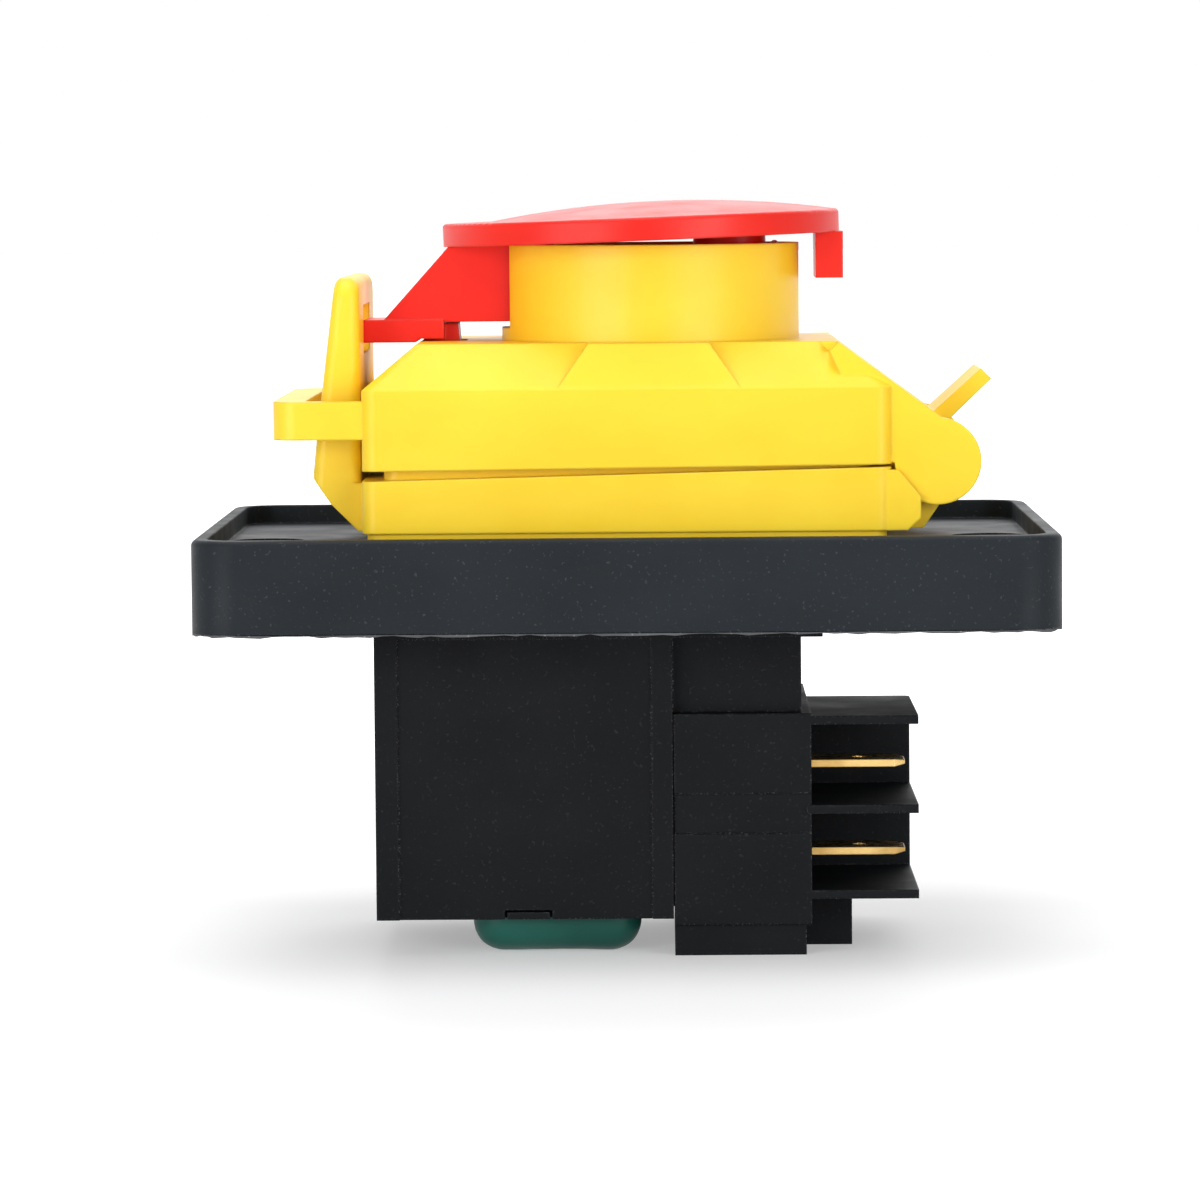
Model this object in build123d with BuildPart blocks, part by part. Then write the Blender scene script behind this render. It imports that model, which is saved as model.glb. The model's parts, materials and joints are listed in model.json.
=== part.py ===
from build123d import *
import math
import os

# A no-volt-release push button switch for a machine, with a hinged yellow lid
# that carries a red stop paddle. Millimetres, +Z up, +X towards the lid hinge.
# The origin is the centre of the tray's underside, which lies on the panel.

# Mounting tray
tray_length = 92.4
tray_width = 66.0
tray_height = 10.0
tray_corner = 5.0
tray_wall = 1.7
tray_rim_depth = 2.1
tray_floor = 2.2
tray_edge_round = 0.7
mount_pitch = 80.0
mount_hole_d = 4.5
mount_recess_d = 8.3
mount_recess_depth = 3.0
mount_boss_d = 11.0
cutout_clearance = 0.4

# How far a cutting shape passes the piece that it cuts
cut_reach = 1.0

# Base frame
frame_left = -28.4
frame_right = 28.5
frame_half_width = 21.4
frame_wall = 2.0
frame_corner = 1.6
frame_plinth_height = 2.0
frame_plinth_inset = 0.5
frame_top_left = 15.5
frame_top_right = 16.75
frame_shelf = 2.4
frame_shelf_width = 4.5
lip_thickness = 1.3
lip_height = 1.7
lip_clearance = 0.45

# Tongue of the base frame, which stands through the lid's loop
tongue_half_width = 15.4
tongue_top = 37.4
tongue_gap = 0.4
tongue_foot_start = 0.7
tongue_foot_out = 3.6
tongue_foot_rise = 2.9
tongue_knee_out = 5.6
tongue_knee_z = 15.7
tongue_neck_out = 5.2
tongue_neck_z = 19.6
tongue_root_drop = 0.4
tongue_tip_thickness = 2.6
tongue_top_round = 1.2
window_half_width = 6.2
window_low = 28.9
window_high = 34.2

# Lid
lid_bottom_left = 16.6
lid_bottom_right = 17.0
lid_shoulder_z = 25.25
lid_top = 30.1
lid_top_left = -22.6
lid_top_right = 22.9
lid_top_half_width = 16.75
lid_wall = 1.8
lid_top_corner = 0.8
lid_slope_inset = 0.2
lid_bottom_end = 0.2
bump_left = -4.0
bump_right = 9.0
bump_flare = 3.4
bump_out = 2.2
bump_root = 1.0
bump_sink = 0.02
collar_x = 2.7
collar_radius = 16.45
collar_height = 10.5
collar_wall = 1.6
collar_slot = 11.4
collar_slot_z = 31.5
loop_reach = 9.6
loop_side_inset = 0.9
loop_half_width = frame_half_width - loop_side_inset
loop_low = 20.0
loop_height = 4.1
loop_front_bar = 3.5
loop_side_bar = 2.5
loop_corner = 2.6

# Lid hinge
hinge_x = 33.5
hinge_z = 17.24
ear_radius = 4.65
ear_inner = 17.8
ear_thickness = 2.4
ear_overlap = 0.1
ear_root = 1.0
ear_foot_out = 0.35
ear_foot_rise = 0.4
roof_end_z = 21.6
roof_end_x = 34.3
roof_thickness = 1.4
roof_half_width_end = 12.4
stud_d = 4.0
stud_length = 2.6
hinge_clearance = 0.06
knuckle_radius = 2.95
knuckle_length = 3.6
ear_side_clearance = 0.25
gusset_thickness = 0.6
gusset_inset = 0.3
gusset_foot_out = 1.7
gusset_out = 3.1
gusset_low = 1.3
gusset_high = 3.6
gusset_top_out = 0.7
gusset_top_drop = 0.35
tab_length = 6.8
tab_thickness = 1.6
tab_half_width = 7.0
tab_shift_x = 0.9
tab_shift_z = 0.3
tab_root = 0.4

# Stop paddle
cap_x = 1.75
cap_z = 41.1
cap_radius = 21.9
cap_tilt = 1.83
cap_rim_height = 2.5
cap_wall = 1.0
dome_offset = 2.35
dome_base_radius = 19.3
dome_rise = 1.62
dome_inset = 0.7
cap_edge_round = 0.45
pivot_x = -20.2
pivot_z = 26.4
pivot_pin_d = 2.5
pivot_pin_half_length = 7.0
tang_radius = 2.1
tang_half_width = 3.0
tang_slot_clearance = 0.5
tang_taper = 0.4
tang_root = 0.5
pin_boss_width = 3.0
pin_boss_root = 0.2
arm_half_width = 5.0
arm_cheek = 1.6
arm_low = 32.2
arm_top_x = -19.5
arm_knee_x = -26.6
arm_inner_x = -8.0
arm_root = 0.4
arm_top_drop = 0.7
arm_inner_drop = 4.0
foot_tip_x = -29.1
foot_end_x = -20.0
foot_half_width = 5.8
foot_low = 30.4
foot_tip_low = 30.0
foot_top = 32.5
foot_step = 0.5
foot_step_run = 0.4
foot_tip_cut = 0.35
leg_left = 20.9
leg_thickness = 3.0
leg_half_width = 5.0
leg_low = 36.7
post_d = 8.0
post_bore_d = 5.2
post_floor = 1.6
post_hole_clearance = 1.0

# Buttons
button_size = 14.6
button_corner = 3.0
button_height = 6.6
button_top = 17.6
button_roof = 2.2
button_wall = 1.6
button_round = 0.8
button_dish = 0.5
button_border = 2.2
stem_root = 1.5
stop_x = 11.5
start_x = -11.5
stem_size = 5.0
start_travel = 3.0
button_gap = 0.55
guide_clearance = 0.35
well_wall = 0.9
well_height = 3.0
well_floor_z = 3.3
well_floor = 1.2
plate_thickness = 2.0
plate_gap = 0.15

# Switch case under the panel
case_left = -27.5
case_right = 4.8
case_side_step = 3.9
case_half_width = frame_half_width - case_side_step
case_bottom = -32.4
case_wall = 1.8
case_panel_recess = 0.35
case_left_strip = 2.5
case_right_strip = 2.3
notch_left = -13.6
notch_width = 5.2
notch_height = 1.0
latch_gap = 0.3
latch_sink = 0.4
latch_root = 0.5
latch_low = 0.25
neck_right = 18.8
neck_wall = 1.5
neck_side_step = 2.0
neck_half_width = case_half_width - neck_side_step
flange_right = 21.1
flange_thickness = 1.8
bottom_cover = 1.6
cover_fit = 0.05
wall_root = 0.5
tunnel_top = -3.0
tunnel_low_gap = 0.3
tunnel_side_gap = 0.6
well_pocket_gap = 0.25

# Terminal block
block_left = 4.9
block_right = 19.8
block_top = -10.1
block_bottom = -33.1
block_wall = 1.5
band_high = -18.8
band_low = -23.15
band_depth = 0.35
shroud_right = 31.4
shroud_back = 5.4
shroud_wall = 0.95
shroud_corner = 0.8
shelf_upper = -10.4
shelf_middle = -20.1
shelf_lower = -29.4
shelf_levels = (shelf_upper, shelf_middle, shelf_lower)
rear_shelf_drop = 1.4
rear_shelf_step = 0.4
rear_shelf_back = 1.1
shelf_root = 0.5
plug_depth = 1.5
foot_step_gap = 0.05
foot_block_bottom = -36.5
foot_inset = 0.6
foot_right = 24.4
foot_step_half_width = 9.0

# Blade terminals
blade_width = 6.3
blade_thickness = 0.8
blade_tip_x = 30.1
blade_side_step = 6.25
blade_y = case_half_width - blade_side_step
blade_upper = -15.9
blade_lower = -25.5
blade_levels = (blade_upper, blade_lower)
blade_upper_root = 11.6
blade_lower_root = 7.6
blade_roots = (blade_upper_root, blade_lower_root)
blade_hole_d = 1.6
blade_fit = 0.05
blade_hole_from_tip = 4.9
blade_chamfer = 1.2
tip_d = 3.0
tip_height = 0.6

# Capacitor
cap_body_left = -17.3
cap_body_right = 1.5
cap_body_side_step = 2.3
cap_body_thickness = 7.8
cap_body_front = cap_body_side_step - case_half_width
cap_body_back = cap_body_front + cap_body_thickness
cap_body_low = -36.5
cap_body_high = -19.5
cap_body_round = 3.4
cap_opening_clearance = 0.3

# Magnet
core_x = -12.0
core_y = 4.2
core_depth = 9.0
core_half_span = 12.0
core_leg = 4.0
core_centre_leg = 8.0
core_yoke = 4.5
core_low = case_bottom + bottom_cover
core_top = -14.0
bobbin_wall = 0.9
bobbin_fit = 0.15
bobbin_flange = 2.6
winding_inset = 0.5
winding_corner = 2.0
winding_gap = 0.02
bobbin_corner = 1.0
bobbin_end_extra = 0.6
bobbin_top_gap = 1.3
ring_thickness = 1.0
ring_fit = 0.05
armature_thickness = 3.0
armature_gap = 3.1

# Contact carrier
carrier_height = 4.6
carrier_arm_thickness = 2.4
carrier_arm_low = -6.4
carrier_arm_right = 16.6
carrier_arm_low_y = 3.8
carrier_arm_high_y = 8.2
post_root = 0.1
stem_gap = 0.05
stop_stem_gap = 0.5
seat_gap = 0.02
post_size = 3.0
bridge_thickness = 0.8
bridge_width = 4.0
bridge_gap = 3.1
neck_stem_gap = 0.4
stop_pad_length = 2.0
stop_bar_width = 3.0

# Springs
paddle_spring_radius = 5.0
button_spring_radius = 4.6
carrier_spring_radius = 1.5
button_spring_wire = 0.6
paddle_spring_wire = 0.8
carrier_spring_wire = 0.4
carrier_spring_inset = 0.4
button_spring_turns = 5
paddle_spring_turns = 5
carrier_spring_turns = 4

# Screws
screw_d = 2.9
screw_clearance = 0.2
boss_reach = 2.6
screw_head_d = 5.2
screw_head_height = 1.6
screw_length = 11.0
screw_x = 20.1
screw_side_step = 3.0
screw_y = case_half_width - screw_side_step
screw_x_middle = -1.7

frame_x = (frame_left + frame_right) / 2
frame_length = frame_right - frame_left
floor_top = tray_height - tray_rim_depth
floor_low = floor_top - tray_floor
case_top = floor_top
os.makedirs("parts", exist_ok=True)


def finish(piece, name):
    piece.part.label = name
    export_step(piece.part, f"parts/{name}.step")


def box_between(low, high):
    """Add a block by its two corners to the piece being made."""
    size = [b - a for a, b in zip(low, high)]
    middle = tuple((a + b) / 2 for a, b in zip(low, high))
    with Locations(middle):
        return Box(*size)


def cut_between(low, high):
    """Cut a block by its two corners from the piece being made."""
    size = [b - a for a, b in zip(low, high)]
    middle = tuple((a + b) / 2 for a, b in zip(low, high))
    with Locations(middle):
        return Box(*size, mode=Mode.SUBTRACT)


def side_profile(points):
    """Add a closed outline, given in X and Z, to an upright sketch."""
    return Polygon(*points, align=None)


def side_plane(y):
    """The upright X-Z plane at y; what is extruded from it goes towards -Y."""
    return Plane(origin=(0, y, 0), x_dir=(1, 0, 0), z_dir=(0, -1, 0))


# Mounting tray: a hollow skirt with a sunk floor and two screw bosses
with BuildPart() as mounting_tray:
    with BuildSketch():
        RectangleRounded(tray_length, tray_width, tray_corner)
    extrude(amount=tray_height)
    fillet(mounting_tray.faces().sort_by(Axis.Z)[-1].edges(), tray_edge_round)
    with BuildSketch(Plane.XY.offset(floor_top)):
        RectangleRounded(
            tray_length - 2 * tray_wall, tray_width - 2 * tray_wall, tray_corner - tray_wall
        )
    extrude(amount=tray_rim_depth, mode=Mode.SUBTRACT)
    with BuildSketch():
        RectangleRounded(
            tray_length - 2 * tray_wall, tray_width - 2 * tray_wall, tray_corner - tray_wall
        )
    extrude(amount=floor_low, mode=Mode.SUBTRACT)
    with BuildSketch():
        with GridLocations(mount_pitch, 0, 2, 1):
            Circle(mount_boss_d / 2)
    extrude(amount=floor_low)
    with Locations(Location((0, 0, floor_top))):
        with GridLocations(mount_pitch, 0, 2, 1):
            CounterBoreHole(mount_hole_d / 2, mount_recess_d / 2, mount_recess_depth)
    cut_between(
        (case_left - cutout_clearance, -case_half_width - cutout_clearance, 0),
        (flange_right + cutout_clearance, case_half_width + cutout_clearance, floor_top),
    )
finish(mounting_tray, "mounting_tray")

# Base frame: yellow wall with a sloping top edge, a shelf, the tongue and the knuckles
plate_low = floor_top + frame_shelf
lip_top = frame_top_right + lip_height
tongue_inner_x = frame_left - tongue_gap
frame_wall_low = floor_top + frame_plinth_height
with BuildPart() as base_frame:
    with BuildSketch(Plane.XY.offset(floor_top)):
        with Locations((frame_x, 0)):
            RectangleRounded(
                frame_length - 2 * frame_plinth_inset,
                2 * (frame_half_width - frame_plinth_inset),
                frame_corner,
            )
    extrude(amount=frame_plinth_height)
    with BuildSketch(Plane.XY.offset(frame_wall_low)):
        with Locations((frame_x, 0)):
            RectangleRounded(frame_length, 2 * frame_half_width, frame_corner)
    extrude(amount=lip_top - frame_wall_low)
    # The band above the wall's sloping edge steps in to the lip inside the lid
    with BuildSketch(side_plane(frame_half_width + cut_reach)):
        side_profile([
            (frame_left - cut_reach, frame_top_left),
            (frame_right + cut_reach, frame_top_right),
            (frame_right + cut_reach, lip_top + cut_reach),
            (frame_left - cut_reach, lip_top + cut_reach),
        ])
    band = extrude(amount=2 * (frame_half_width + cut_reach), mode=Mode.PRIVATE)
    with BuildSketch(Plane.XY.offset(frame_top_left - cut_reach)):
        with Locations((frame_x, 0)):
            RectangleRounded(
                frame_length - 2 * (lid_wall + lip_clearance),
                2 * (frame_half_width - lid_wall - lip_clearance),
                frame_corner,
            )
    core = extrude(amount=lip_top, mode=Mode.PRIVATE)
    add(band - core, mode=Mode.SUBTRACT)
    # The room inside, above the shelf
    inner_x = frame_length - 2 * (lid_wall + lip_clearance + lip_thickness)
    inner_y = 2 * (frame_half_width - lid_wall - lip_clearance - lip_thickness)
    with BuildSketch(Plane.XY.offset(plate_low)):
        with Locations((frame_x, 0)):
            RectangleRounded(inner_x, inner_y, frame_corner)
    extrude(amount=lip_top, mode=Mode.SUBTRACT)
    # The shelf's window, where the case comes up
    with BuildSketch(Plane.XY.offset(floor_top)):
        with Locations((frame_x, 0)):
            RectangleRounded(
                inner_x - 2 * frame_shelf_width, inner_y - 2 * frame_shelf_width, frame_corner
            )
    extrude(amount=frame_shelf, mode=Mode.SUBTRACT)
    with Locations(Location((screw_x_middle, 0, plate_low))):
        with GridLocations(2 * screw_x, 2 * screw_y, 2, 2):
            Hole(screw_d / 2 + screw_clearance)
    # Tongue
    with BuildSketch(side_plane(tongue_half_width)):
        side_profile([
            (frame_left + frame_plinth_inset, frame_wall_low),
            (frame_left - tongue_foot_start, frame_wall_low),
            (frame_left - tongue_foot_out, frame_wall_low + tongue_foot_rise),
            (frame_left - tongue_knee_out, tongue_knee_z),
            (frame_left - tongue_neck_out, tongue_neck_z),
            (tongue_inner_x - tongue_tip_thickness, tongue_top),
            (tongue_inner_x, tongue_top),
            (tongue_inner_x, frame_top_left - tongue_root_drop),
            (frame_left + frame_plinth_inset, frame_top_left - tongue_root_drop),
        ])
    extrude(amount=2 * tongue_half_width)
    tongue_tip = base_frame.faces().filter_by(Axis.Z).sort_by(Axis.Z)[-1]
    fillet(tongue_tip.edges().filter_by(Axis.X), tongue_tip_thickness)
    tongue_tip = base_frame.faces().filter_by(Axis.Z).sort_by(Axis.Z)[-1]
    fillet(tongue_tip.edges().filter_by(Axis.Y), tongue_top_round)
    cut_between(
        (frame_left - 2 * tongue_knee_out, -window_half_width, window_low),
        (frame_left, window_half_width, window_high),
    )
    # Hinge knuckles with their webs, inside the lid's ears
    for side in (-1, 1):
        knuckle_mid = side * (ear_inner - ear_side_clearance - knuckle_length / 2)
        with BuildSketch(side_plane(knuckle_mid + knuckle_length / 2)):
            side_profile([
                (frame_right - frame_wall, frame_wall_low),
                (hinge_x - knuckle_radius / 2, frame_wall_low),
                (hinge_x + knuckle_radius / 2, hinge_z - knuckle_radius),
                (hinge_x, hinge_z),
                (hinge_x - knuckle_radius, hinge_z),
                (frame_right, frame_top_right),
                (frame_right - frame_wall, frame_top_right),
            ])
            with Locations((hinge_x, hinge_z)):
                Circle(knuckle_radius)
            with Locations((hinge_x, hinge_z)):
                Circle(stud_d / 2 + hinge_clearance, mode=Mode.SUBTRACT)
        extrude(amount=knuckle_length)
        # Gusset outside the ear
        gusset_mid = side * (frame_half_width - gusset_inset - gusset_thickness / 2)
        with BuildSketch(side_plane(gusset_mid + gusset_thickness / 2)):
            side_profile([
                (frame_right - frame_wall, frame_wall_low),
                (frame_right + gusset_foot_out, frame_wall_low),
                (frame_right + gusset_out, frame_wall_low + gusset_low),
                (frame_right + gusset_out, frame_wall_low + gusset_high),
                (frame_right + gusset_top_out, frame_top_right - gusset_top_drop),
                (frame_right - frame_wall, frame_top_right - gusset_top_drop),
            ])
        extrude(amount=gusset_thickness)
finish(base_frame, "base_frame")

# Lid: a chamfered cover with a collar, a loop, two ears, a roof plate and a tab
ear_mid = ear_inner + ear_thickness / 2
with BuildPart() as lid:
    with BuildSketch(Plane.XY.offset(lid_bottom_left)):
        with Locations((frame_x, 0)):
            RectangleRounded(frame_length, 2 * frame_half_width, frame_corner)
    extrude(amount=lid_shoulder_z - lid_bottom_left)
    with BuildSketch(Plane.XY.offset(lid_shoulder_z)):
        with Locations((frame_x, 0)):
            RectangleRounded(frame_length, 2 * frame_half_width, frame_corner)
    with BuildSketch(Plane.XY.offset(lid_top)):
        with Locations(((lid_top_left + lid_top_right) / 2, 0)):
            RectangleRounded(
                lid_top_right - lid_top_left, 2 * lid_top_half_width, lid_top_corner
            )
    loft()
    # Raised band across both long chamfers
    for side in (-1, 1):
        with BuildSketch(Plane.XY.offset(lid_shoulder_z)):
            with BuildLine():
                Polyline(
                    (bump_left - bump_flare, side * (lid_top_half_width - bump_root)),
                    (bump_left - bump_flare, side * (frame_half_width - bump_sink)),
                    (bump_right + bump_flare, side * (frame_half_width - bump_sink)),
                    (bump_right + bump_flare, side * (lid_top_half_width - bump_root)),
                    close=True,
                )
            make_face()
        with BuildSketch(Plane.XY.offset(lid_top)):
            with BuildLine():
                Polyline(
                    (bump_left, side * (lid_top_half_width - bump_root)),
                    (bump_left, side * (lid_top_half_width + bump_out)),
                    (bump_right, side * (lid_top_half_width + bump_out)),
                    (bump_right, side * (lid_top_half_width - bump_root)),
                    close=True,
                )
            make_face()
        loft()
    # Roof plate down to the hinge, and its narrow end that carries the tab
    roof_slope = (lid_top - roof_end_z) / (roof_end_x - lid_top_right)
    roof_drop = roof_thickness * math.hypot(1, roof_slope)
    roof_stop_x = hinge_x - knuckle_radius
    for half_width, end_x in ((ear_inner + ear_overlap, roof_stop_x), (roof_half_width_end, roof_end_x)):
        end_z = lid_top - roof_slope * (end_x - lid_top_right)
        with BuildSketch(side_plane(half_width)):
            side_profile([
                (lid_top_right - lid_wall, lid_top),
                (lid_top_right, lid_top),
                (end_x, end_z),
                (end_x, end_z - roof_drop),
                (lid_top_right - lid_wall, lid_top - roof_drop + roof_slope * lid_wall),
            ])
        extrude(amount=2 * half_width)
    # Tab, leaning back at 45 degrees
    tab_step = tab_length / math.sqrt(2)
    tab_edge = tab_thickness / math.sqrt(2)
    tab_end_x = roof_end_x + tab_shift_x + tab_step
    tab_end_z = roof_end_z + tab_shift_z + tab_step
    with BuildSketch(side_plane(tab_half_width)):
        side_profile([
            (roof_end_x - tab_edge, roof_end_z),
            (tab_end_x - tab_edge, tab_end_z),
            (tab_end_x, tab_end_z - tab_edge),
            (roof_end_x + tab_root, roof_end_z - tab_edge),
            (roof_end_x - tab_edge, roof_end_z - tab_edge),
        ])
    extrude(amount=2 * tab_half_width)
    # Ears with their inward studs
    for side in (-1, 1):
        with BuildSketch(side_plane(side * ear_mid + ear_thickness / 2)):
            side_profile([
                (lid_top_right - ear_root, lid_top - ear_root),
                (lid_top_right, lid_top),
                (roof_end_x, roof_end_z),
                (hinge_x, hinge_z),
                (hinge_x - ear_radius + ear_overlap, hinge_z),
                (frame_right + ear_foot_out, lid_bottom_right + ear_overlap),
                (frame_right - ear_root, lid_bottom_right + ear_foot_rise),
            ])
            with Locations((hinge_x, hinge_z)):
                Circle(ear_radius)
        extrude(amount=ear_thickness)
        with BuildSketch(side_plane(side * (ear_inner - stud_length / 2) + stud_length / 2)):
            with Locations((hinge_x, hinge_z)):
                Circle(stud_d / 2)
        extrude(amount=stud_length)
    # Hollow inside
    with BuildSketch(Plane.XY.offset(lid_bottom_left - cut_reach)):
        with Locations((frame_x, 0)):
            RectangleRounded(
                frame_length - 2 * lid_wall, 2 * (frame_half_width - lid_wall), frame_corner
            )
    extrude(amount=lid_shoulder_z - lid_bottom_left + cut_reach, mode=Mode.SUBTRACT)
    with BuildSketch(Plane.XY.offset(lid_shoulder_z)):
        with Locations((frame_x, 0)):
            RectangleRounded(
                frame_length - 2 * lid_wall, 2 * (frame_half_width - lid_wall), frame_corner
            )
    with BuildSketch(Plane.XY.offset(lid_top - lid_wall)):
        with Locations(((lid_top_left + lid_top_right) / 2, 0)):
            RectangleRounded(
                lid_top_right - lid_top_left - 2 * lid_slope_inset,
                2 * (lid_top_half_width - lid_slope_inset),
                lid_top_corner,
            )
    loft(mode=Mode.SUBTRACT)
    # Bottom edge, a little higher at the hinge
    with BuildSketch(side_plane(frame_half_width + cut_reach)):
        side_profile([
            (frame_left - cut_reach, lid_bottom_left - cut_reach),
            (frame_right + lid_bottom_end, lid_bottom_left - cut_reach),
            (frame_right + lid_bottom_end, lid_bottom_right),
            (frame_left - cut_reach, lid_bottom_left),
        ])
    extrude(amount=2 * (frame_half_width + cut_reach), mode=Mode.SUBTRACT)
    # Loop round the tongue
    with BuildSketch(Plane.XY.offset(loop_low)):
        with Locations((frame_left - loop_reach / 2 + lid_wall / 2, 0)):
            Rectangle(loop_reach + lid_wall, 2 * loop_half_width)
        with Locations((frame_left - (loop_reach - loop_front_bar) / 2, 0)):
            Rectangle(
                loop_reach - loop_front_bar,
                2 * (loop_half_width - loop_side_bar),
                mode=Mode.SUBTRACT,
            )
    extrude(amount=loop_height)
    loop_ends = lid.edges().filter_by(Axis.Z).group_by(Axis.X)[0]
    fillet(loop_ends, loop_corner)
    # Collar
    with BuildSketch(Plane.XY.offset(lid_top)):
        with Locations((collar_x, 0)):
            Circle(collar_radius)
            Circle(collar_radius - collar_wall, mode=Mode.SUBTRACT)
    extrude(amount=collar_height)
    cut_between(
        (collar_x - collar_radius - cut_reach, -collar_slot / 2, collar_slot_z),
        (collar_x, collar_slot / 2, lid_top + collar_height),
    )
    # Hole for the pusher post and slot for the tang
    with BuildSketch(Plane.XY.offset(lid_top - lid_wall)):
        with Locations((stop_x, 0)):
            Circle(post_d / 2 + post_hole_clearance)
        with Locations((pivot_x, 0)):
            Rectangle(
                2 * (tang_radius + tang_slot_clearance),
                2 * (tang_half_width + tang_slot_clearance),
            )
    extrude(amount=lid_wall, mode=Mode.SUBTRACT)
    # Bosses under the top that hold the paddle pin
    for side in (-1, 1):
        boss_mid = side * (tang_half_width + tang_slot_clearance + pin_boss_width / 2)
        with BuildSketch(side_plane(boss_mid + pin_boss_width / 2)):
            side_profile([
                (pivot_x - tang_radius, pivot_z),
                (pivot_x + tang_radius, pivot_z),
                (pivot_x + tang_radius, lid_top - lid_wall + pin_boss_root),
                (pivot_x - tang_radius, lid_top - lid_wall + pin_boss_root),
            ])
            with Locations((pivot_x, pivot_z)):
                Circle(tang_radius)
            with Locations((pivot_x, pivot_z)):
                Circle(pivot_pin_d / 2, mode=Mode.SUBTRACT)
        extrude(amount=pin_boss_width)
finish(lid, "lid")

# Stop paddle: a shallow domed cap with an arm, a foot, a leg and the pusher post
tilt = math.radians(cap_tilt)
cap_normal = (-math.sin(tilt), 0, math.cos(tilt))
cap_across = (math.cos(tilt), 0, math.sin(tilt))
cap_plane = Plane(origin=(cap_x, 0, cap_z), x_dir=cap_across, z_dir=cap_normal)
dome_plane = Plane(
    origin=(cap_x + dome_offset * cap_across[0], 0, cap_z + dome_offset * cap_across[2]),
    x_dir=cap_across,
    z_dir=cap_normal,
)


def shallow_dome(radius, base, rise):
    """A slice of a large ball that stands on the cap's plane at height base."""
    ball = (radius**2 + rise**2) / (2 * rise)
    sink = cap_wall / 2
    drum = Cylinder(radius, rise + 2 * sink, align=(Align.CENTER, Align.CENTER, Align.MIN))
    return (dome_plane.offset(base + rise - ball) * Sphere(ball)) & (
        dome_plane.offset(base - sink) * drum
    )


outer_dome = shallow_dome(dome_base_radius, cap_rim_height, dome_rise)
inner_dome = shallow_dome(dome_base_radius - dome_inset, cap_rim_height - cap_wall, dome_rise)
with BuildPart() as cap_outer:
    with BuildSketch(cap_plane):
        Circle(cap_radius)
    extrude(amount=cap_rim_height)
    fillet(cap_outer.faces().sort_by(Axis.Z)[-1].edges(), cap_edge_round)
    add(outer_dome)

with BuildPart() as cap_hollow:
    with BuildSketch(cap_plane):
        Circle(cap_radius - cap_wall)
    extrude(amount=cap_rim_height - cap_wall)
    add(inner_dome)

with BuildPart() as cap_envelope:
    with BuildSketch(cap_plane):
        Circle(4 * cap_radius)
    extrude(amount=-2 * cap_radius)
    add(cap_outer.part)

post_low = button_top + button_gap
with BuildPart() as stop_paddle:
    # Two cheeks of the arm
    for side in (-1, 1):
        cheek_mid = side * (arm_half_width - arm_cheek / 2)
        with BuildSketch(side_plane(cheek_mid + arm_cheek / 2)):
            side_profile([
                (arm_knee_x, foot_top - arm_root),
                (arm_knee_x, foot_top),
                (arm_top_x, cap_z - arm_top_drop),
                (arm_top_x, cap_z + cap_radius),
                (arm_inner_x, cap_z + cap_radius),
                (arm_inner_x, cap_z - arm_inner_drop),
                (collar_x - collar_radius + 2 * collar_wall, arm_low),
                (foot_end_x, arm_low),
            ])
        extrude(amount=arm_cheek)
    # Sloping back of the arm between the cheeks
    with BuildSketch(side_plane(arm_half_width)):
        side_profile([
            (arm_knee_x, foot_top - arm_root),
            (arm_knee_x, foot_top),
            (arm_top_x, cap_z - arm_top_drop),
            (arm_top_x, cap_z + cap_radius),
            (arm_top_x + arm_cheek, cap_z + cap_radius),
            (arm_top_x + arm_cheek, cap_z - 2 * arm_top_drop),
            (arm_knee_x + 1.5 * arm_cheek, foot_top - arm_root),
        ])
    extrude(amount=2 * arm_half_width)
    # Foot, whose tip reaches the tongue's window
    with BuildSketch(side_plane(foot_half_width)):
        side_profile([
            (foot_tip_x, foot_tip_low),
            (lid_top_left - foot_step, foot_tip_low),
            (lid_top_left - foot_step + foot_step_run, foot_low),
            (foot_end_x, foot_low),
            (foot_end_x, foot_top),
            (foot_tip_x + foot_tip_cut, foot_top),
            (foot_tip_x, foot_top - foot_tip_cut),
        ])
    extrude(amount=2 * foot_half_width)
    # Tang down to the pivot pin
    with BuildSketch(side_plane(tang_half_width)):
        side_profile([
            (pivot_x - tang_radius, pivot_z),
            (pivot_x + tang_radius, pivot_z),
            (pivot_x + tang_radius - tang_taper, foot_top - tang_root),
            (pivot_x - tang_radius, foot_top - tang_root),
        ])
        with Locations((pivot_x, pivot_z)):
            Circle(tang_radius)
    extrude(amount=2 * tang_half_width)
    with BuildSketch(side_plane(tang_half_width)):
        with Locations((pivot_x, pivot_z)):
            Circle(pivot_pin_d / 2 + hinge_clearance)
    extrude(amount=2 * tang_half_width, mode=Mode.SUBTRACT)
    # Leg at the far edge
    with BuildSketch(Plane.XY.offset(leg_low)):
        with Locations((leg_left + leg_thickness / 2, 0)):
            Rectangle(leg_thickness, 2 * leg_half_width)
    extrude(amount=cap_radius)
    # Pusher post
    with BuildSketch(Plane.XY.offset(post_low)):
        with Locations((stop_x, 0)):
            Circle(post_d / 2)
    extrude(amount=2 * cap_radius)
    with BuildSketch(Plane.XY.offset(post_low + post_floor)):
        with Locations((stop_x, 0)):
            Circle(post_bore_d / 2)
    extrude(amount=cap_z - post_low - post_floor, mode=Mode.SUBTRACT)
    add(cap_envelope.part, mode=Mode.INTERSECT)
    add(cap_outer.part - cap_hollow.part)
finish(stop_paddle, "stop_paddle")

with BuildPart() as paddle_pin:
    with BuildSketch(side_plane(pivot_pin_half_length)):
        with Locations((pivot_x, pivot_z)):
            Circle(pivot_pin_d / 2)
    extrude(amount=2 * pivot_pin_half_length)
finish(paddle_pin, "paddle_pin")


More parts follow.
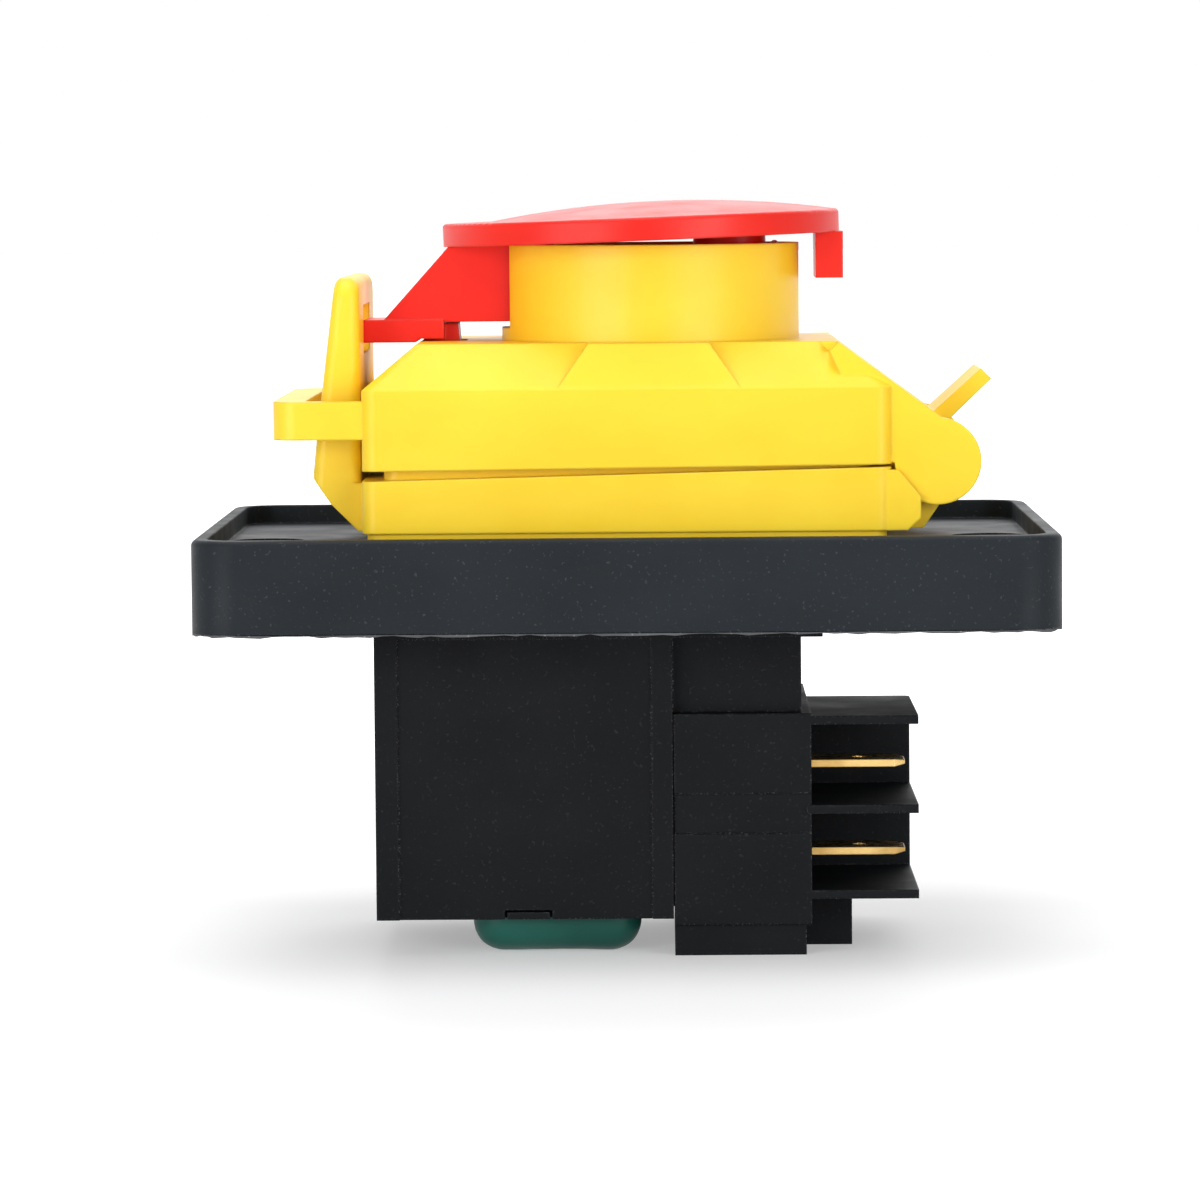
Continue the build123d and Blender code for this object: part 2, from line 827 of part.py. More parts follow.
def coil_spring(x, y, low, high, radius, wire, turns):
    """A compression spring that stands from low to high."""
    rise = high - low - wire
    path = Pos(x, y, low + wire / 2) * Helix(pitch=rise / turns, height=rise, radius=radius)
    return sweep(Plane(path @ 0, z_dir=path % 0) * Circle(wire / 2), path=path)


spring_top = cap_z + (stop_x - cap_x) * math.sin(tilt) + cap_rim_height - cap_wall
paddle_coil = coil_spring(
    stop_x, 0, lid_top + seat_gap, spring_top,
    paddle_spring_radius, paddle_spring_wire, paddle_spring_turns,
)
with BuildPart() as paddle_spring:
    add(paddle_coil)
finish(paddle_spring, "paddle_spring")

# Button plate with a well for each button
plate_top = plate_low + plate_thickness
well_inner = button_size + 2 * guide_clearance
well_outer = well_inner + 2 * well_wall
well_top = plate_top + well_height
with BuildPart() as button_plate:
    with BuildSketch(Plane.XY.offset(plate_low)):
        with Locations((frame_x, 0)):
            RectangleRounded(
                inner_x - 2 * plate_gap, inner_y - 2 * plate_gap, frame_corner - plate_gap
            )
    extrude(amount=plate_thickness)
    for well_x in (start_x, stop_x):
        with BuildSketch(Plane.XY.offset(well_floor_z - well_floor)):
            with Locations((well_x, 0)):
                RectangleRounded(well_outer, well_outer, button_corner + well_wall)
        extrude(amount=well_top - well_floor_z + well_floor)
        with BuildSketch(Plane.XY.offset(well_floor_z)):
            with Locations((well_x, 0)):
                RectangleRounded(well_inner, well_inner, button_corner)
        extrude(amount=well_top - well_floor_z, mode=Mode.SUBTRACT)
        with BuildSketch(Plane.XY.offset(well_floor_z - well_floor)):
            with Locations((well_x, 0)):
                Rectangle(stem_size + 2 * guide_clearance, stem_size + 2 * guide_clearance)
        extrude(amount=well_floor, mode=Mode.SUBTRACT)
    with Locations(Location((screw_x_middle, 0, plate_top))):
        with GridLocations(2 * screw_x, 2 * screw_y, 2, 2):
            Hole(screw_d / 2 + screw_clearance)
finish(button_plate, "button_plate")

armature_low = core_top + armature_gap
carrier_low = armature_low + armature_thickness
carrier_top = carrier_low + carrier_height
stop_stem_low = carrier_arm_low + carrier_arm_thickness + stop_stem_gap
for name, button_x, stem_low in (
    ("start_button", start_x, carrier_top + stem_gap),
    ("stop_button", stop_x, stop_stem_low),
):
    with BuildPart() as button:
        with BuildSketch(Plane.XY.offset(button_top - button_height)):
            with Locations((button_x, 0)):
                RectangleRounded(button_size, button_size, button_corner)
        extrude(amount=button_height)
        fillet(button.faces().sort_by(Axis.Z)[-1].edges(), button_round)
        with BuildSketch(Plane.XY.offset(button_top - button_dish)):
            with Locations((button_x, 0)):
                Circle(button_size / 2 - button_border)
        extrude(amount=button_dish, mode=Mode.SUBTRACT)
        with BuildSketch(Plane.XY.offset(button_top - button_height)):
            with Locations((button_x, 0)):
                RectangleRounded(
                    button_size - 2 * button_wall,
                    button_size - 2 * button_wall,
                    button_corner - button_wall / 2,
                )
        extrude(amount=button_height - button_roof, mode=Mode.SUBTRACT)
        with BuildSketch(Plane.XY.offset(stem_low)):
            with Locations((button_x, 0)):
                Rectangle(stem_size, stem_size)
        extrude(amount=button_top - stem_root - stem_low)
    finish(button, name)

for name, spring_x in (("start_spring", start_x), ("stop_spring", stop_x)):
    button_coil = coil_spring(
        spring_x, 0, well_floor_z + seat_gap, button_top - button_roof - seat_gap,
        button_spring_radius, button_spring_wire, button_spring_turns,
    )
    with BuildPart() as button_spring:
        add(button_coil)
    finish(button_spring, name)

# Switch case: an open-topped box, a neck over the terminal block and a flange
neck_left = case_right
tunnel_low = carrier_arm_low - start_travel - tunnel_low_gap
with BuildPart() as switch_case:
    box_between((case_left, -case_half_width, case_bottom), (case_right, case_half_width, 0))
    box_between((neck_left - wall_root, -neck_half_width, block_top), (neck_right, neck_half_width, 0))
    box_between(
        (case_left, -case_half_width, -flange_thickness), (flange_right, case_half_width, case_top)
    )
    # Front and back panels step in between the corner strips
    for side in (-1, 1):
        near, far = sorted((side * case_half_width, side * (case_half_width - case_panel_recess)))
        cut_between(
            (case_left + case_left_strip, near, case_bottom),
            (case_right - case_right_strip, far, -flange_thickness),
        )
    # Hollows
    cut_between(
        (case_left + case_wall, -case_half_width + case_wall, case_bottom),
        (case_right - case_wall, case_half_width - case_wall, case_top),
    )
    cut_between(
        (neck_left, -neck_half_width + neck_wall, block_top),
        (neck_right - neck_wall, neck_half_width - neck_wall, case_top),
    )
    cut_between(
        (case_left + case_wall, -case_half_width + case_wall, 0),
        (flange_right - case_wall, case_half_width - case_wall, case_top),
    )
    # Pocket beside the stop button's well
    well_reach = well_outer / 2 + well_pocket_gap
    cut_between(
        (stop_x - well_reach, -well_reach, well_floor_z - well_floor - well_pocket_gap),
        (stop_x + well_reach, well_reach, case_top),
    )
    # Tunnel for the carrier's arm
    cut_between(
        (case_right - case_wall, carrier_arm_low_y - tunnel_side_gap, tunnel_low),
        (neck_left, carrier_arm_high_y + tunnel_side_gap, tunnel_top),
    )
    # Screw bosses in the corners
    for sx in (-1, 1):
        for sy in (-1, 1):
            boss_x = screw_x_middle + sx * screw_x
            wall_x = case_left + wall_root if sx < 0 else flange_right - wall_root
            boss_low, boss_high = sorted((boss_x - sx * boss_reach, wall_x))
            y_low, y_high = sorted((sy * (screw_y - boss_reach), sy * (case_half_width - wall_root)))
            box_between((boss_low, y_low, -flange_thickness), (boss_high, y_high, case_top))
    with Locations(Location((screw_x_middle, 0, case_top))):
        with GridLocations(2 * screw_x, 2 * screw_y, 2, 2):
            Hole(screw_d / 2, depth=case_top)
    # Snap notch at the bottom edge of the front
    cut_between(
        (notch_left, -case_half_width, case_bottom),
        (notch_left + notch_width, -case_half_width + case_wall, case_bottom + notch_height),
    )
finish(switch_case, "switch_case")

cover_top = case_bottom + bottom_cover
with BuildPart() as bottom_cover_plate:
    box_between(
        (case_left + case_wall + cover_fit, -case_half_width + case_wall + cover_fit, case_bottom),
        (case_right - case_wall - cover_fit, case_half_width - case_wall - cover_fit, cover_top),
    )
    box_between(
        (notch_left + latch_gap, -case_half_width + latch_sink, case_bottom),
        (notch_left + notch_width - latch_gap, -case_half_width + case_wall + latch_root,
         case_bottom + notch_height - latch_low),
    )
    with BuildSketch(Plane.XY.offset(case_bottom)):
        with Locations(((cap_body_left + cap_body_right) / 2,
                        (cap_body_front + cap_body_back) / 2)):
            RectangleRounded(
                cap_body_right - cap_body_left + 2 * cap_opening_clearance,
                cap_body_back - cap_body_front + 2 * cap_opening_clearance,
                cap_body_round,
            )
    extrude(amount=bottom_cover, mode=Mode.SUBTRACT)
finish(bottom_cover_plate, "bottom_cover")

# Terminal block with its shroud shelves
rear_drops = (rear_shelf_drop, rear_shelf_step, rear_shelf_step)
rear_levels = [level - drop for level, drop in zip(shelf_levels, rear_drops)]
shelf_left = block_right - shelf_root
rear_near = shroud_back - shelf_root
rear_right = shroud_right - rear_shelf_back
with BuildPart() as terminal_block:
    box_between(
        (block_left, -case_half_width, block_bottom), (block_right, case_half_width, block_top)
    )
    for side in (-1, 1):
        near, far = sorted((side * case_half_width, side * (case_half_width - band_depth)))
        cut_between((block_left, near, band_low), (block_right, far, band_high))
    cut_between(
        (block_left + block_wall, -case_half_width + block_wall, block_bottom),
        (block_right - block_wall, case_half_width - block_wall, block_top - block_wall),
    )
    cut_between(
        (block_left + block_wall, -neck_half_width + neck_wall, block_top - block_wall),
        (neck_right - neck_wall, neck_half_width - neck_wall, block_top),
    )
    # Front shelves with a rounded far corner, then the rear ones
    for level in shelf_levels:
        with BuildSketch(Plane.XY.offset(level - shroud_wall)):
            with Locations(((shelf_left + shroud_right) / 2, (shroud_back - case_half_width) / 2)):
                Rectangle(shroud_right - shelf_left, shroud_back + case_half_width)
        extrude(amount=shroud_wall)
    for level in rear_levels:
        with BuildSketch(Plane.XY.offset(level - shroud_wall)):
            with Locations(((shelf_left + rear_right) / 2, (rear_near + case_half_width) / 2)):
                Rectangle(rear_right - shelf_left, case_half_width - rear_near)
        extrude(amount=shroud_wall)
    box_between(
        (shelf_left, shroud_back - shroud_wall, shelf_levels[2] - shroud_wall),
        (shroud_right, shroud_back, shelf_levels[0]),
    )
    shroud_tip = terminal_block.edges().filter_by(Axis.Z).group_by(Axis.X)[-1]
    fillet(shroud_tip.group_by(Axis.Y)[-1], shroud_corner)
    # Slots for the blades
    for level in blade_levels:
        for side in (-1, 1):
            cut_between(
                (block_right - block_wall, side * blade_y - blade_width / 2 - blade_fit,
                 level - blade_thickness / 2 - blade_fit),
                (block_right, side * blade_y + blade_width / 2 + blade_fit,
                 level + blade_thickness / 2 + blade_fit),
            )
finish(terminal_block, "terminal_block")

with BuildPart() as terminal_base:
    box_between(
        (block_left, -case_half_width + foot_inset, foot_block_bottom),
        (block_right - foot_inset, case_half_width - foot_inset, block_bottom - seat_gap),
    )
    box_between(
        (block_left + block_wall + cover_fit, -case_half_width + block_wall + cover_fit,
         block_bottom - wall_root),
        (block_right - block_wall - cover_fit, case_half_width - block_wall - cover_fit,
         block_bottom + plug_depth),
    )
    box_between(
        (block_right - foot_inset - wall_root, -foot_step_half_width, foot_block_bottom),
        (foot_right, foot_step_half_width, block_bottom - seat_gap),
    )
    box_between(
        (block_right + foot_step_gap, -foot_step_half_width, block_bottom - wall_root),
        (foot_right, foot_step_half_width, rear_levels[2] - shroud_wall - foot_step_gap),
    )
finish(terminal_base, "terminal_base")

# Four blade terminals, each with its fixed contact tip inside the block
blade_names = ("blade_front_upper", "blade_front_lower", "blade_back_upper", "blade_back_lower")
blade_spots = [(side, i) for side in (-1, 1) for i in range(len(blade_levels))]
for name, (side, i) in zip(blade_names, blade_spots):
    level, root = blade_levels[i], blade_roots[i]
    with BuildPart() as blade:
        with BuildSketch(Plane.XY.offset(level - blade_thickness / 2)):
            with Locations(((root + blade_tip_x) / 2, side * blade_y)):
                blade_plan = Rectangle(blade_tip_x - root, blade_width)
            chamfer(blade_plan.vertices().group_by(Axis.X)[-1], blade_chamfer)
            with Locations((blade_tip_x - blade_hole_from_tip, side * blade_y)):
                Circle(blade_hole_d / 2, mode=Mode.SUBTRACT)
        extrude(amount=blade_thickness)
        with BuildSketch(Plane.XY.offset(level + blade_thickness / 2)):
            with Locations((root + bridge_width / 2, side * blade_y)):
                Circle(tip_d / 2)
        extrude(amount=tip_height)
    finish(blade, name)

# Capacitor that bulges out under the bottom cover
with BuildPart() as start_capacitor:
    box_between(
        (cap_body_left, cap_body_front, cap_body_low),
        (cap_body_right, cap_body_back, cap_body_high),
    )
    fillet(start_capacitor.edges(), cap_body_round)
finish(start_capacitor, "start_capacitor")

# Magnet: laminated core with three legs, bobbin, winding, shading rings and armature
yoke_top = core_low + core_yoke
leg_spots = (-core_half_span + core_leg / 2, 0, core_half_span - core_leg / 2)
leg_widths = (core_leg, core_centre_leg, core_leg)
with BuildPart() as magnet_core:
    box_between(
        (core_x - core_half_span, core_y - core_depth / 2, core_low),
        (core_x + core_half_span, core_y + core_depth / 2, yoke_top),
    )
    for spot, width in zip(leg_spots, leg_widths):
        box_between(
            (core_x + spot - width / 2, core_y - core_depth / 2, yoke_top),
            (core_x + spot + width / 2, core_y + core_depth / 2, core_top),
        )
    for spot in (leg_spots[0], leg_spots[2]):
        cut_between(
            (core_x + spot - ring_thickness / 2 - ring_fit, core_y - core_depth / 2,
             core_top - ring_thickness - ring_fit),
            (core_x + spot + ring_thickness / 2 + ring_fit, core_y + core_depth / 2, core_top),
        )
finish(magnet_core, "magnet_core")

with BuildPart() as shading_rings:
    for spot, out in ((leg_spots[0], -1), (leg_spots[2], 1)):
        ring_y = core_depth / 2 + ring_fit
        outer_edge = core_x + spot + out * (core_leg / 2 + ring_fit)
        x_low, x_high = sorted((
            core_x + spot - out * ring_thickness / 2, outer_edge + out * ring_thickness
        ))
        box_between(
            (x_low, core_y - ring_y - ring_thickness, core_top - ring_thickness),
            (x_high, core_y + ring_y + ring_thickness, core_top),
        )
        hole_low, hole_high = sorted((core_x + spot + out * ring_thickness / 2, outer_edge))
        cut_between(
            (hole_low, core_y - ring_y, core_top - ring_thickness),
            (hole_high, core_y + ring_y, core_top),
        )
finish(shading_rings, "shading_rings")

tube_x = core_centre_leg / 2 + bobbin_fit + bobbin_wall
tube_y = core_depth / 2 + bobbin_fit + bobbin_wall
flange_x = tube_x + bobbin_flange
flange_y = tube_y + bobbin_flange + bobbin_end_extra
bobbin_low, bobbin_high = yoke_top + seat_gap, core_top - bobbin_top_gap
with BuildPart() as coil_bobbin:
    for low in (bobbin_low, bobbin_high - bobbin_wall):
        with BuildSketch(Plane.XY.offset(low)):
            with Locations((core_x, core_y)):
                RectangleRounded(2 * flange_x, 2 * flange_y, bobbin_corner)
        extrude(amount=bobbin_wall)
    box_between(
        (core_x - tube_x, core_y - tube_y, bobbin_low),
        (core_x + tube_x, core_y + tube_y, bobbin_high),
    )
    cut_between(
        (core_x - tube_x + bobbin_wall, core_y - tube_y + bobbin_wall, bobbin_low),
        (core_x + tube_x - bobbin_wall, core_y + tube_y - bobbin_wall, bobbin_high),
    )
finish(coil_bobbin, "coil_bobbin")

with BuildPart() as coil_winding:
    with BuildSketch(Plane.XY.offset(bobbin_low + bobbin_wall + winding_gap)):
        with Locations((core_x, core_y)):
            RectangleRounded(
                2 * (flange_x - winding_inset), 2 * (flange_y - winding_inset), winding_corner
            )
            Rectangle(
                2 * (tube_x + winding_gap), 2 * (tube_y + winding_gap), mode=Mode.SUBTRACT
            )
    extrude(amount=bobbin_high - bobbin_low - 2 * (bobbin_wall + winding_gap))
finish(coil_winding, "coil_winding")

with BuildPart() as armature:
    box_between(
        (core_x - core_half_span, core_y - core_depth / 2, armature_low),
        (core_x + core_half_span, core_y + core_depth / 2, carrier_low),
    )
finish(armature, "armature")

# Contact carrier: a block over the armature with an arm into the terminal block
arm_y = (carrier_arm_low_y + carrier_arm_high_y) / 2
bar_x = [root + bridge_width / 2 for root in blade_roots]
moving_tip_low = [level + blade_thickness / 2 + tip_height + bridge_gap for level in blade_levels]
bar_low = [tip + tip_height for tip in moving_tip_low]
with BuildPart() as contact_carrier:
    box_between(
        (core_x - flange_x, core_y - flange_y, carrier_low),
        (core_x + flange_x, core_y + flange_y, carrier_top),
    )
    box_between(
        (core_x, carrier_arm_low_y, carrier_arm_low),
        (carrier_arm_right, carrier_arm_high_y, carrier_arm_low + carrier_arm_thickness),
    )
    for x, low in zip(bar_x, bar_low):
        box_between(
            (x - post_size / 2, arm_y - post_size / 2, low + bridge_thickness),
            (x + post_size / 2, arm_y + post_size / 2, carrier_arm_low + post_root),
        )
finish(contact_carrier, "contact_carrier")

for name, x, low, tip_low in zip(("bridge_upper", "bridge_lower"), bar_x, bar_low, moving_tip_low):
    with BuildPart() as bridge:
        box_between(
            (x - bridge_width / 2, -blade_y - tip_d / 2, low),
            (x + bridge_width / 2, blade_y + tip_d / 2, low + bridge_thickness),
        )
        for side in (-1, 1):
            with BuildSketch(Plane.XY.offset(tip_low)):
                with Locations((x, side * blade_y)):
                    Circle(tip_d / 2)
            extrude(amount=tip_height)
    finish(bridge, name)

carrier_coils = [
    coil_spring(
        core_x, core_y + side * (flange_y - carrier_spring_radius - carrier_spring_inset),
        bobbin_high + seat_gap, carrier_low - seat_gap,
        carrier_spring_radius, carrier_spring_wire, carrier_spring_turns,
    )
    for side in (-1, 1)
]
with BuildPart() as carrier_springs:
    add(carrier_coils)
finish(carrier_springs, "carrier_springs")

# Normally closed stop contact in the neck
stop_bar_half = neck_stem_gap + stem_size / 2 + stop_pad_length
with BuildPart() as stop_bridge:
    box_between(
        (stop_x - stop_bar_half, -stop_bar_width / 2, stop_stem_low - bridge_thickness),
        (stop_x + stop_bar_half, stop_bar_width / 2, stop_stem_low),
    )
finish(stop_bridge, "stop_bridge")

with BuildPart() as stop_contacts:
    for near, far in (
        (neck_left, stop_x - stem_size / 2 - neck_stem_gap),
        (stop_x + stem_size / 2 + neck_stem_gap, neck_right - neck_wall),
    ):
        box_between(
            (near, -stop_bar_width / 2, stop_stem_low + stem_gap),
            (far, stop_bar_width / 2, stop_stem_low + stem_gap + bridge_thickness),
        )
finish(stop_contacts, "stop_contacts")

# Four screws clamp the plate and the frame's shelf to the case
with BuildPart() as plate_screws:
    for sx in (-1, 1):
        for sy in (-1, 1):
            with BuildSketch(Plane.XY.offset(plate_top - screw_length)):
                with Locations((screw_x_middle + sx * screw_x, sy * screw_y)):
                    Circle(screw_d / 2)
            extrude(amount=screw_length)
            with BuildSketch(Plane.XY.offset(plate_top)):
                with Locations((screw_x_middle + sx * screw_x, sy * screw_y)):
                    Circle(screw_head_d / 2)
            extrude(amount=screw_head_height)
finish(plate_screws, "plate_screws")
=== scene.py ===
import json
import logging
import math
import random
from collections.abc import Callable, Sequence
from dataclasses import dataclass, field
from enum import Enum

import bpy
import bmesh
from mathutils import Matrix, Vector, noise

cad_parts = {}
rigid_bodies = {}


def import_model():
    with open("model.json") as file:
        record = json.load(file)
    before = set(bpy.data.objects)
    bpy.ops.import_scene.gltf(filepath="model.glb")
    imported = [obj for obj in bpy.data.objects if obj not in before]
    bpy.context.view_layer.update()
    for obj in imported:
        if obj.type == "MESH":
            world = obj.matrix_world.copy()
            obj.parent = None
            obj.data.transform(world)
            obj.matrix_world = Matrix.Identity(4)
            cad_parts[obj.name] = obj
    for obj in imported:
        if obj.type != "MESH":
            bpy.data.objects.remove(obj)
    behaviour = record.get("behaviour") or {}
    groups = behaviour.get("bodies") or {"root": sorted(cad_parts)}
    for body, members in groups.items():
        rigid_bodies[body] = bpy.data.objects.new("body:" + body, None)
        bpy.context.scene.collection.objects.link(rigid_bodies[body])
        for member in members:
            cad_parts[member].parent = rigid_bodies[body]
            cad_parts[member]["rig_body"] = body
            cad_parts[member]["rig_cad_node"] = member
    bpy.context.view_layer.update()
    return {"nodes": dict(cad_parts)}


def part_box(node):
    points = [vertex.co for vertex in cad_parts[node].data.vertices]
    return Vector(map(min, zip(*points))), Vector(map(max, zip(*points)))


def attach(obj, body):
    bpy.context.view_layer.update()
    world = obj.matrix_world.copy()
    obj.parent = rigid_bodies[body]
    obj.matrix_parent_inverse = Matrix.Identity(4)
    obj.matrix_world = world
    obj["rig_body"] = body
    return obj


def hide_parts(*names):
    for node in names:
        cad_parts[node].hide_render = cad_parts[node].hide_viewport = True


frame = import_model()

MM = 0.001
WHITE = (1.0, 1.0, 1.0, 1.0)
LOG = logging.getLogger("switch")

Object = bpy.types.Object
Point = tuple[float, float, float]
Colour = tuple[float, float, float]
Span = tuple[float, float]


class Body(Enum):
    """The moving bodies of the switch."""

    HOUSING = "housing"
    LID = "lid_cover"
    PADDLE = "paddle"
    STOP = "stop_plunger"
    START = "start_plunger"
    CARRIER = "carrier"


class Slot(Enum):
    """The material slots that a piece takes its finish from."""

    TRAY = "tray_black"
    CASE = "case_black"
    YELLOW = "yellow"
    RED = "red"
    GREEN = "green"
    BRASS = "brass"
    STEEL = "steel"
    LAMINATIONS = "laminations"
    COPPER = "copper"
    BOBBIN = "bobbin_white"
    CAPACITOR = "capacitor_teal"


class Axis(Enum):
    """The direction that a grain or a lamination runs along."""

    X = 0
    Y = 1
    Z = 2


class Nodes:
    """A small hand for wiring shader nodes."""

    # How closely a rounded normal follows the face's own, on a face and on an edge
    ON_FACE = 0.99
    ON_EDGE = 0.8

    def __init__(self, name: str) -> None:
        """Start an empty material.

        Args:
            name: the material's name.
        """
        self.material = bpy.data.materials.new(name)
        self.material.use_nodes = True
        self.tree = self.material.node_tree
        self.shader = self.tree.nodes["Principled BSDF"]
        self.place = self.add("ShaderNodeTexCoord").outputs["Object"]

    def add(self, kind: str, **values: object) -> bpy.types.Node:
        """Add a node and set its attributes.

        Args:
            kind: the node's type name.
            values: attributes of the node.

        Returns:
            The new node.
        """
        node = self.tree.nodes.new(kind)
        for key, value in values.items():
            setattr(node, key, value)
        return node

    def link(self, source: object, target: object) -> None:
        """Join an output socket to an input socket."""
        self.tree.links.new(source, target)

    def noise(
        self, scale: float, detail: float, stretch: Point = (1.0, 1.0, 1.0)
    ) -> bpy.types.NodeSocket:
        """Add noise on the piece's own coordinates.

        Args:
            scale: spots per metre.
            detail: how many finer layers it has.
            stretch: the scale along each axis.

        Returns:
            The noise value's socket.
        """
        mapping = self.add("ShaderNodeMapping")
        mapping.inputs["Scale"].default_value = stretch
        self.link(self.place, mapping.inputs["Vector"])
        node = self.add("ShaderNodeTexNoise")
        node.inputs["Scale"].default_value = scale
        node.inputs["Detail"].default_value = detail
        self.link(mapping.outputs["Vector"], node.inputs["Vector"])
        return node.outputs["Fac"]

    def ramp(
        self, value: object, low: float, high: float, dark: Colour, light: Colour
    ) -> bpy.types.NodeSocket:
        """Turn a value into a colour between two.

        Args:
            value: the socket that steers it.
            low: the value that gives the dark colour.
            high: the value that gives the light colour.
            dark: the colour at the low end.
            light: the colour at the high end.

        Returns:
            The colour's socket.
        """
        node = self.add("ShaderNodeValToRGB")
        first, last = node.color_ramp.elements
        first.position, last.position = low, high
        first.color, last.color = (*dark, 1.0), (*light, 1.0)
        self.link(value, node.inputs["Fac"])
        return node.outputs["Color"]

    def span(
        self, value: object, low: float, high: float, start: float = 0.0, end: float = 1.0
    ) -> bpy.types.NodeSocket:
        """Map a value from one range to another.

        Args:
            value: the socket to map.
            low: the range's low end.
            high: the range's high end.
            start: the result at the low end.
            end: the result at the high end.

        Returns:
            The mapped value's socket.
        """
        node = self.add("ShaderNodeMapRange")
        node.inputs["From Min"].default_value = low
        node.inputs["From Max"].default_value = high
        node.inputs["To Min"].default_value = start
        node.inputs["To Max"].default_value = end
        self.link(value, node.inputs["Value"])
        return node.outputs["Result"]

    def bump(
        self, height: object, strength: float, depth: float, below: object = None
    ) -> bpy.types.NodeSocket:
        """Raise the surface by a height.

        Args:
            height: the height's socket.
            strength: how strong it shows, from 0 to 1.
            depth: its depth in metres.
            below: the normal that it stands on, if any.

        Returns:
            The normal's socket.
        """
        node = self.add("ShaderNodeBump")
        node.inputs["Strength"].default_value = strength
        node.inputs["Distance"].default_value = depth
        self.link(height, node.inputs["Height"])
        if below is not None:
            self.link(below, node.inputs["Normal"])
        return node.outputs["Normal"]

    def rounding(self, radius: float) -> bpy.types.NodeSocket:
        """Round the sharp edges of a piece as a mould does.

        Args:
            radius: the rounding's radius in metres.

        Returns:
            The rounded normal's socket.
        """
        node = self.add("ShaderNodeBevel", samples=4)
        node.inputs["Radius"].default_value = radius
        return node.outputs["Normal"]

    def edges(self, rounded: object) -> bpy.types.NodeSocket:
        """Find the edges of a piece, where a rounded normal leaves the face's own.

        Args:
            rounded: the rounded normal's socket.

        Returns:
            A value that is 1 on an edge and 0 on a face.
        """
        geometry = self.add("ShaderNodeNewGeometry")
        product = self.add("ShaderNodeVectorMath", operation="DOT_PRODUCT")
        self.link(rounded, product.inputs[0])
        self.link(geometry.outputs["Normal"], product.inputs[1])
        return self.span(product.outputs["Value"], self.ON_FACE, self.ON_EDGE)

    def mix(self, factor: object, first: object, second: Colour) -> bpy.types.NodeSocket:
        """Mix a colour socket with a plain colour.

        Args:
            factor: the socket that steers it.
            first: the colour socket at factor 0.
            second: the plain colour at factor 1.

        Returns:
            The mixed colour's socket.
        """
        node = self.add("ShaderNodeMix", data_type="RGBA")
        self.link(factor, node.inputs["Factor"])
        self.link(first, node.inputs["A"])
        node.inputs["B"].default_value = (*second, 1.0)
        return node.outputs["Result"]


